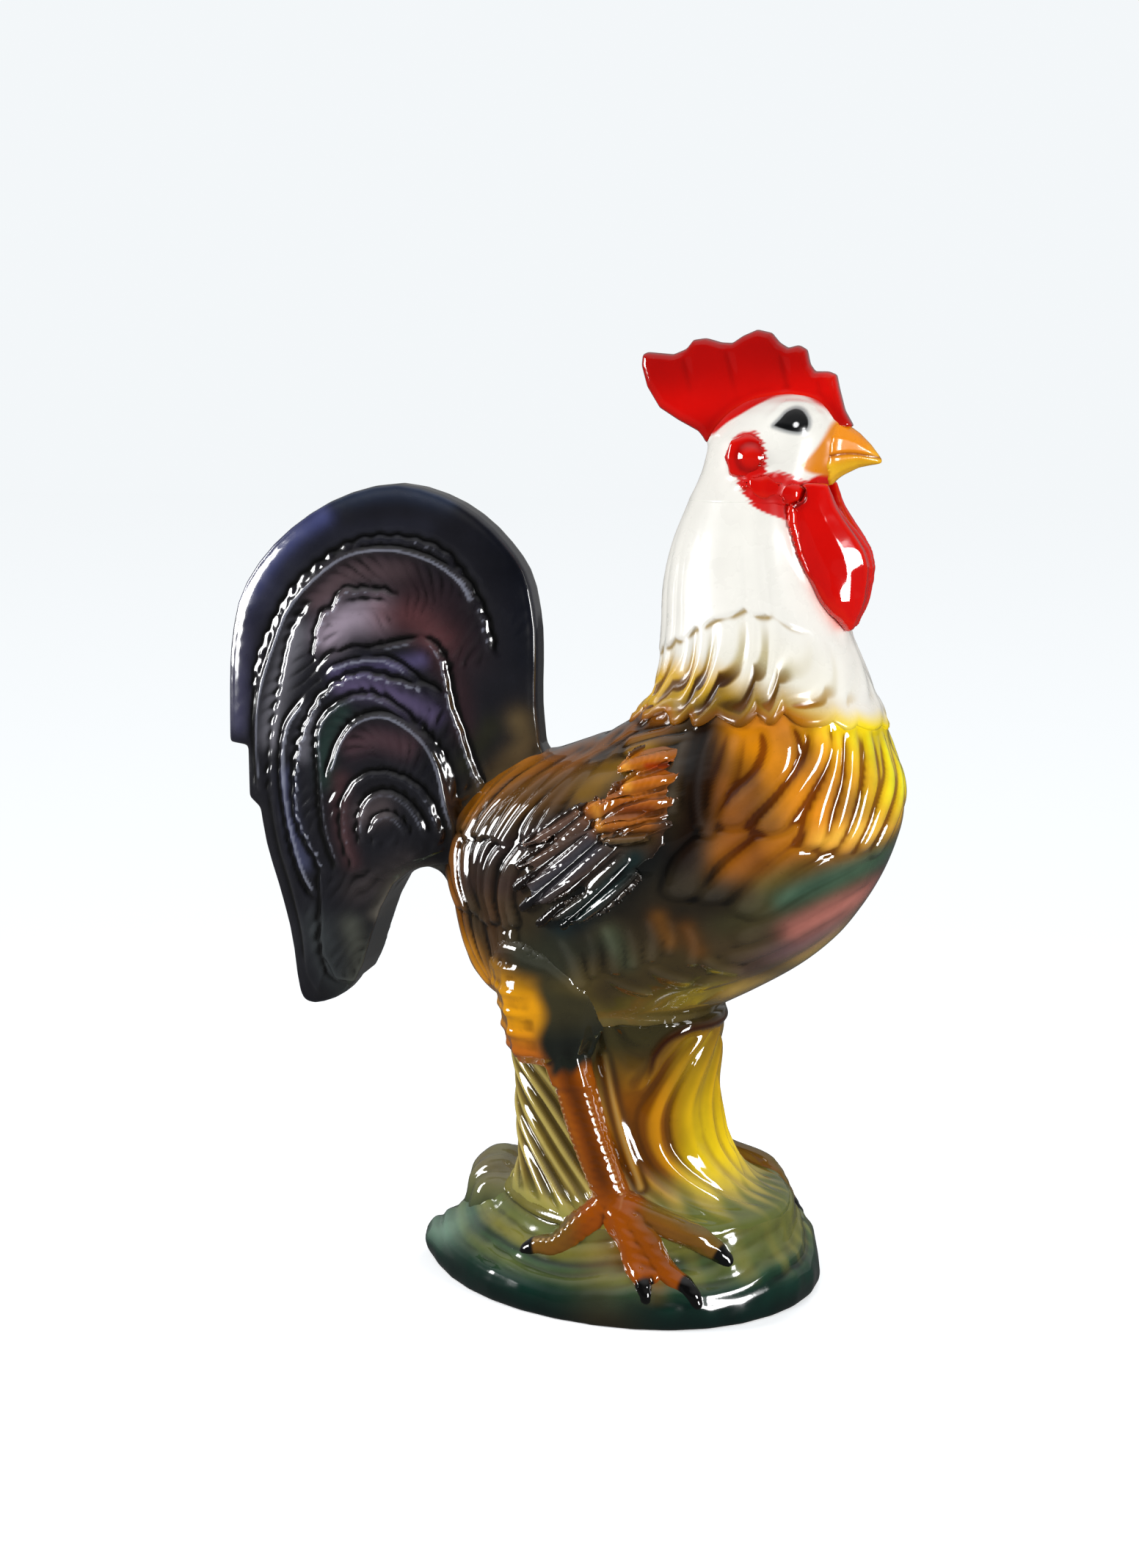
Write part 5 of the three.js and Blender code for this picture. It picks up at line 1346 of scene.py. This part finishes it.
WING_SPRAYS = [  # side-view line, reach, colour and cover
    ([(0, 166), (-12, 155), (-26, 144)], 5.5, (104, 78, 66), 1),
    ([(4, 154), (-8, 143), (-22, 131)], 4.2, (62, 62, 70), 0.95),
    ([(12, 146), (0, 133), (-12, 122)], 5, (24, 42, 42), 0.95),
    ([(11.5, 175.2), (1.3, 168.9), (-5.5, 162.7)], 3.6, (124, 88, 22), 0.95),
    ([(16, 152.5), (8, 151.5), (2, 151.5)], 2.2, (74, 60, 34), 0.95),
    ([(16, 157), (8, 156.5), (1, 155)], 3, (150, 84, 16), 1),
    ([(20, 163), (9, 163), (-2, 160)], 3.8, (160, 86, 14), 1),
    ([(16, 161), (8, 160.4)], 2, (118, 50, 6), 0.8),
    ([(23, 169.5), (15, 169), (8, 167)], 3.1, (180, 98, 14), 1),
    ([(22, 176), (14, 175), (6, 172)], 3.1, (176, 98, 14), 1),
    ([(23, 173), (14, 172.6)], 1.3, (160, 50, 6), 0.9),
    # painted highlights: pale strokes at the tips of two coverts
    ([(0.5, 155), (-1, 160)], 1.6, (220, 150, 56), 0.6),
    ([(7, 172), (9, 167)], 1.6, (228, 160, 56), 0.6),
    ([(29, 182), (29, 166), (24, 146)], 6.5, (24, 12, 5), 1),
    ([(24, 181), (10, 178), (2, 175)], 2, (60, 42, 20), 0.8),
]


def paint_wing(place, facing, depth):
    coat = airbrushed(UMBER_BROWN, place, WING_SPRAYS)
    behind = ramp(-place[:, 0] - 0.5 * (place[:, 2] - 160), -4, 2)
    # painted shade: grooves darkened
    coat = mix(coat, coat * 0.1, (0.55 + 0.4 * behind) * ramp(-depth, 0.0, 0.25))
    # painted highlight: raised parts lightened
    return mix(coat, coat * 1.5 + 0.02, 0.5 * ramp(depth, 0.05, 0.35))


def bury_front(wing):
    """Presses the front and upper edges of a wing into the body, so that only its feathers stand out."""
    place = points_of(wing)[0]
    sink = 4 * ramp(place[:, 0], 16, 27) + 2 * ramp(place[:, 2], 174, 180)
    place[:, 1] -= np.sign(place[:, 1]) * sink
    move_points(wing, place)


umber_glaze = glaze("umber_glaze")
for side in ("right", "left"):
    wing = skin_over(f"{side}_wing", WING_GRAIN, passes=26)
    press_flat(wing, passes=150)
    bury_front(wing)
    raise_relief(wing, wing_relief)
    lute(wing, torso, reach=2)
    fire(f"{side}_wing_sprig", wing, paint_wing, umber_glaze, "umber_glaze", f"{side}_wing")


# Legs
# Each leg is one sprig: a feathered thigh, a scaly shank and four slender toes with black claws,
# pressed against the column and the mound. Orange-brown glaze, with webs of it between the front toes.

LEG_GRAIN = 0.6
BEAD_PITCH = 1.9
FEET = {  # seen from above: knee, ankle, and the joints of the outer, middle, inner and hind toe
    "right": [(-13, -27), (2, -31), [
        [(9, -38), (12.2, -42), (14.2, -44.8)],
        [(11, -36.5), (21, -41), (27.5, -42.8)],
        [(18, -34), (28, -35), (36, -32.8)],
        [(-7, -34), (-14, -35), (-20.5, -34.2)],
    ]],
    "left": [(0, 27), (16, 30), [
        [(21, 36), (23.6, 40), (25.2, 42.4)],
        [(26, 33.5), (35, 35.4), (42, 34.6)],
        [(30, 27), (43, 24.3), (51.5, 21.4)],
        [(7, 33), (-1, 35), (-7.5, 35.4)],
    ]],
}
KNEE_HEIGHT = 79
SHANK_GIRTH = [6.6, 6.3, 6, 5.4]
TOE_GIRTH = [4.6, 3.7, 3.2, 2.5]
TOE_RISE = [1.6, 0.9, 0.6]  # heights of its joints over the ground
CLAW_GIRTH = [2.2, 2, 1.3]
WEB_GIRTH = [4, 4.2, 4]
THIGH_CUT = 70  # the casting is kept above this height
RUSSET = (148, 72, 6)
RUSSET_SHADE = (84, 40, 5)
RUSSET_LIGHT = (168, 90, 12)
FOOT_RUSSET = (150, 72, 5)
KNEE_ORANGE = (206, 112, 26)
THIGH_GOLD = (230, 156, 14)
UPPER_GOLD = (176, 122, 24)
GOLD_SHADE = (130, 74, 6)
THIGH_BLACK = (30, 34, 28)
THIGH_OLIVE = (58, 54, 34)
TOE_OLIVE = (100, 86, 34)
BEAD_HIGHLIGHT = (240, 200, 140)
CLAW_BLACK = (6, 6, 6)
GROUND = [surface_of(mound), surface_of(column)]


def ground_under(x, y):
    """Height of the mound or of the column's foot at a place seen from above."""
    hits = [tree.ray_cast(Vector((x, y, 60)) * MM, Vector((0, 0, -1)))[0] for tree in GROUND]
    return max((hit.z / MM for hit in hits if hit), default=8)


def foot_lines(side):
    """Spines in millimetres of a leg's shank and of its toes, over the mound."""
    knee, ankle, toes = FEET[side]
    bottom = ground_under(*ankle) + 4.5
    shank = [(*knee, KNEE_HEIGHT), (*np.array(knee) * 0.6 + np.array(ankle) * 0.4, 58), (*ankle, bottom)]
    return shank, [
        [(*ankle, bottom - 1)] + [(x, y, ground_under(x, y) + rise) for (x, y), rise in zip(toe, TOE_RISE)]
        for toe in toes
    ]


def claw_line(toe):
    """Spine of the claw that carries on from a toe and bends down."""
    tip, before = np.array(toe[-1]), np.array(toe[-2])
    ahead = (tip - before) / np.linalg.norm(tip - before)
    return [tip + 0.8 * ahead, tip + 3 * ahead - (0, 0, 1), tip + 5 * ahead - (0, 0, 3)]


def shape_leg(form, shank, toes):
    """Keeps the thigh of the casting and builds shank, toes, webs and claws below it."""
    parts = form.verts[:] + form.edges[:] + form.faces[:]
    level = (0, 0, THIGH_CUT * MM)
    low = bmesh.ops.bisect_plane(form, geom=parts, plane_co=level, plane_no=(0, 0, 1), clear_inner=True)
    rim = [part for part in low["geom_cut"] if isinstance(part, bmesh.types.BMEdge)]
    bmesh.ops.holes_fill(form, edges=rim)
    add_limb(form, shank, SHANK_GIRTH)
    for toe in toes:
        add_limb(form, toe, TOE_GIRTH)
        add_limb(form, claw_line(toe), CLAW_GIRTH)
    webs = [(np.array(a) + np.array(b)) / 2 - (0, 0, 2.6) for a, b in zip(toes[0], toes[1])]
    add_limb(form, webs[:3], WEB_GIRTH)


def beads(gap, run, out):
    """A row of beads that runs beside a spine at a given distance."""
    return bump(gap, out, 0.75) * (0.45 + 0.55 * np.cos(2 * math.pi * run / BEAD_PITCH))


def leg_beads(place, shank, toes):
    """The rows of beads down the shank and along every toe."""
    z = place[:, 2]
    gap, run = measure(side_view(place), line_through(side_view(np.array(shank))))[:2]
    row = beads(gap, run, 4.4) * ramp(-z, -72, -66)
    for toe in toes:
        gap, run = measure(place[:, :2], line_through(np.array(toe)[:, :2]))[:2]
        row = np.maximum(row * ramp(z, 26, 34), beads(gap, run, 1.9) * ramp(-z, -36, -28))
    return row


def leg_relief(place, facing, shank, toes):
    x, z = place[:, 0], place[:, 2]
    knob = 2.4 * bump(np.hypot((x + 24) * 0.7, z - 110.5), 0, 4.6)
    knob += 1.6 * bump(np.hypot((x + 27) * 0.8, z - 100), 0, 4.4)
    knob += 0.9 * np.maximum(np.cos(0.95 * (z - 100)), 0) * ramp(-x, 18, 30)
    scales = 0.12 * np.sin(2.4 * z + 0.6 * x) * (1 - ramp(z, 66, 76))
    plumes = 0.35 * np.cos(0.62 * x + 0.12 * z) * ramp(z, 74, 80) * (1 - ramp(z, 92, 100))
    return 0.15 + scales + plumes + knob * ramp(z, 76, 84) + 0.5 * leg_beads(place, shank, toes)


def paint_leg(place, facing, depth, shank, toes):
    x, y, z = place.T
    knee = shank[0][0]
    yellow = coats(
        tint(KNEE_ORANGE),
        (THIGH_GOLD, ramp(z, 80, 92)),
        (UPPER_GOLD, ramp(z, 98, 104)),
        (GOLD_SHADE, ramp(-depth, 0, 0.4)),
    )
    gold = ramp(knee - 6 + 1.2 * np.sin(0.35 * z) - x, -3, 3)
    thigh = mix(coats(tint(THIGH_BLACK), (THIGH_OLIVE, ramp(z, 84, 96))), yellow, gold)
    thigh = mix(thigh, paint_plumage(place, facing, depth), ramp(z - 0.2 * (knee - x), 99, 107))
    along = (x - knee) * 0.97 + (z - KNEE_HEIGHT) * 0.35
    skin = coats(
        tint(RUSSET),
        (RUSSET_SHADE, 0.8 * bump(along, 0, 2.4)),
        (RUSSET_LIGHT, 0.7 * bump(np.abs(along), 4.6, 1.4)),
        (FOOT_RUSSET, ramp(-z, -44, -32)),
    )
    inner, hind = (measure(place[:, :2], line_through(np.array(toe)[:, :2]))[0] for toe in toes[2:])
    from_ankle = np.hypot(x - toes[0][0][0], y - toes[0][0][1])
    olive = np.maximum(bump(hind, 0, 5), bump(inner, 0, 5)) * ramp(from_ankle, 8, 15)
    claw = np.min([measure(place, line_through(claw_line(toe)))[0] for toe in toes], 0)
    beyond = np.max([ramp((place - toe[-1]) @ (np.array(toe[-1]) - toe[-2]), 4, 12) for toe in toes], 0)
    return coats(
        mix(skin, thigh, ramp(z + 0.8 * np.sin(1.1 * x) + 0.25 * (knee - x), 73, 77)),
        (TOE_OLIVE, 0.9 * olive * (z < 36)),
        # painted shade: darker in the grooves
        (0.3, 0.7 * ramp(-depth, 0, 0.35)),
        # painted highlight: pale dots on the beads
        (BEAD_HIGHLIGHT, 0.5 * ramp(leg_beads(place, shank, toes), 0.5, 0.9)),
        (CLAW_BLACK, beyond * (1 - ramp(claw, 3, 4))),
    )


russet_glaze = glaze("russet_glaze")
for side in FEET:
    shank, toes = foot_lines(side)
    leg = skin_over(f"{side}_leg", LEG_GRAIN, passes=6, shape=lambda form: shape_leg(form, shank, toes))
    raise_relief(leg, lambda place, facing: leg_relief(place, facing, shank, toes))
    lute(leg, mound, reach=2.6)
    lute(leg, column, reach=3)
    lute(leg, torso, reach=5)
    fire(
        f"{side}_leg_sprig", leg, lambda place, facing, depth: paint_leg(place, facing, depth, shank, toes),
        russet_glaze, "russet_glaze", f"{side}_leg",
    )


# Studio
# A plain pale floor that fades into a pale wall, soft light from both sides and above, and a camera
# that stands where the photograph was taken.

PAPER = (0.90, 0.93, 0.95, 1)
FLOOR_WHITE = (0.93, 0.94, 0.95, 1)
FLOOR_GLOW = (0.92, 0.95, 0.97, 1)
SHADE_GREY = (0.3, 0.3, 0.3, 1)
SOFT_BLUE = (0.96, 0.98, 1, 1)
FLOOR_MIDDLE = (0.05, -0.45, 0)
bpy.context.scene.view_settings.view_transform = "Standard"


def seen_as(tree, camera, gloss, rest):
    """Three shaders in one: what the camera sees, what the gloss mirrors, and what lights everything else."""
    ray = add_node(tree, "LightPath").outputs
    first = add_node(tree, "MixShader", {0: ray["Is Camera Ray"], 1: rest, 2: camera}).outputs[0]
    return add_node(tree, "MixShader", {0: ray["Is Glossy Ray"], 1: first, 2: gloss}).outputs[0]


def studio_floor():
    """A white sheet that the camera sees brightly lit, while clay and gloss get little light from it."""
    sheet = bmesh.new()
    bmesh.ops.create_grid(sheet, x_segments=1, y_segments=1, size=6)
    mesh = bpy.data.meshes.new("floor")
    sheet.to_mesh(mesh)
    sheet.free()
    material = bpy.data.materials.new("pale_floor")
    material.use_nodes = True
    tree = material.node_tree
    near = tree.nodes["Principled BSDF"]
    feed(tree, near, {"Base Color": FLOOR_WHITE, "Roughness": 0.8})
    feed(tree, near, {"Emission Color": FLOOR_GLOW, "Emission Strength": 0.45})
    where = add_node(tree, "TexCoord").outputs["Object"]
    away = add_node(tree, "VectorMath", {0: where, 1: FLOOR_MIDDLE}, operation="DISTANCE").outputs["Value"]
    limits = {"Value": away, "From Min": 0.48, "From Max": 0.95}
    fade = add_node(tree, "MapRange", limits, interpolation_type="SMOOTHSTEP").outputs["Result"]
    glow = arithmetic(tree, "ADD", arithmetic(tree, "DIVIDE", 0.12, away), 0.98)
    far = add_node(tree, "Emission", {"Color": PAPER, "Strength": glow}).outputs[0]
    paper = add_node(tree, "MixShader", {0: fade, 1: near.outputs[0], 2: far}).outputs[0]
    dark = add_node(tree, "Emission", {"Strength": 0.07}).outputs[0]
    dim = add_node(tree, "BsdfDiffuse", {"Color": SHADE_GREY}).outputs[0]
    feed(tree, tree.nodes["Material Output"], {"Surface": seen_as(tree, paper, dark, dim)})
    mesh.materials.append(material)
    floor = bpy.data.objects.new("floor", mesh)
    bpy.context.scene.collection.objects.link(floor)


def softbox(name, place, towards, width, height, power, shines=True):
    light = bpy.data.lights.new(name, "AREA")
    light.shape = "RECTANGLE"
    light.size, light.size_y, light.energy = width, height, power
    lamp = bpy.data.objects.new(name, light)
    lamp.visible_glossy = shines
    lamp.location = place
    lamp.rotation_euler = (Vector(towards) - Vector(place)).to_track_quat("-Z", "Y").to_euler()
    bpy.context.scene.collection.objects.link(lamp)


def studio_world():
    """Pale paper for the camera, softer light for the clay, and a dim room in front for the gloss."""
    world = bpy.data.worlds.new("studio")
    world.use_nodes = True
    tree = world.node_tree
    paper = tree.nodes["Background"]
    feed(tree, paper, {"Color": PAPER, "Strength": 1.0})
    soft = add_node(tree, "Background", {"Color": SOFT_BLUE, "Strength": 0.32}).outputs[0]
    ahead = add_node(tree, "TexCoord").outputs["Generated"]
    where = add_node(tree, "SeparateXYZ", {0: ahead}).outputs
    room = spread(tree, where["Y"], -0.5, 0.9, 0.04, 0.25)
    ceiling = spread(tree, where["Z"], 0.45, 0.95, 0, 0.45)
    gloss = add_node(tree, "Background", {"Strength": arithmetic(tree, "ADD", room, ceiling)}).outputs[0]
    feed(tree, tree.nodes["World Output"], {"Surface": seen_as(tree, paper.outputs[0], gloss, soft)})
    bpy.context.scene.world = world


studio_floor()
studio_world()
softbox("left_window", (-0.85, -0.35, 0.34), (0, 0, 0.17), 0.26, 0.44, 6.4)
softbox("right_window", (0.8, -0.5, 0.26), (0, 0, 0.17), 0.26, 0.34, 6)
softbox("top_window", (-0.15, -0.55, 0.85), (0, 0, 0.15), 0.3, 0.2, 1.6, shines=False)
softbox("rear_fill", (0.2, 0.8, 0.6), (0, 0, 0.17), 0.6, 0.4, 4, shines=False)

VIEW_TURN, VIEW_AWAY, VIEW_HEIGHT = math.radians(12), 0.650, 0.276
VIEW_DIP, VIEW_HEADING = math.radians(10.109), math.radians(13.615)
camera = bpy.data.objects.new("camera", bpy.data.cameras.new("camera"))
camera.data.sensor_fit = "VERTICAL"
camera.data.sensor_height = 36
camera.data.lens = 48.1
camera.data.clip_start = 0.01
camera.location = (VIEW_AWAY * math.sin(VIEW_TURN), -VIEW_AWAY * math.cos(VIEW_TURN), VIEW_HEIGHT)
ahead = Vector((
    -math.sin(VIEW_HEADING) * math.cos(VIEW_DIP),
    math.cos(VIEW_HEADING) * math.cos(VIEW_DIP),
    -math.sin(VIEW_DIP),
))
camera.rotation_euler = ahead.to_track_quat("-Z", "Y").to_euler()
bpy.context.scene.collection.objects.link(camera)
bpy.context.scene.camera = camera
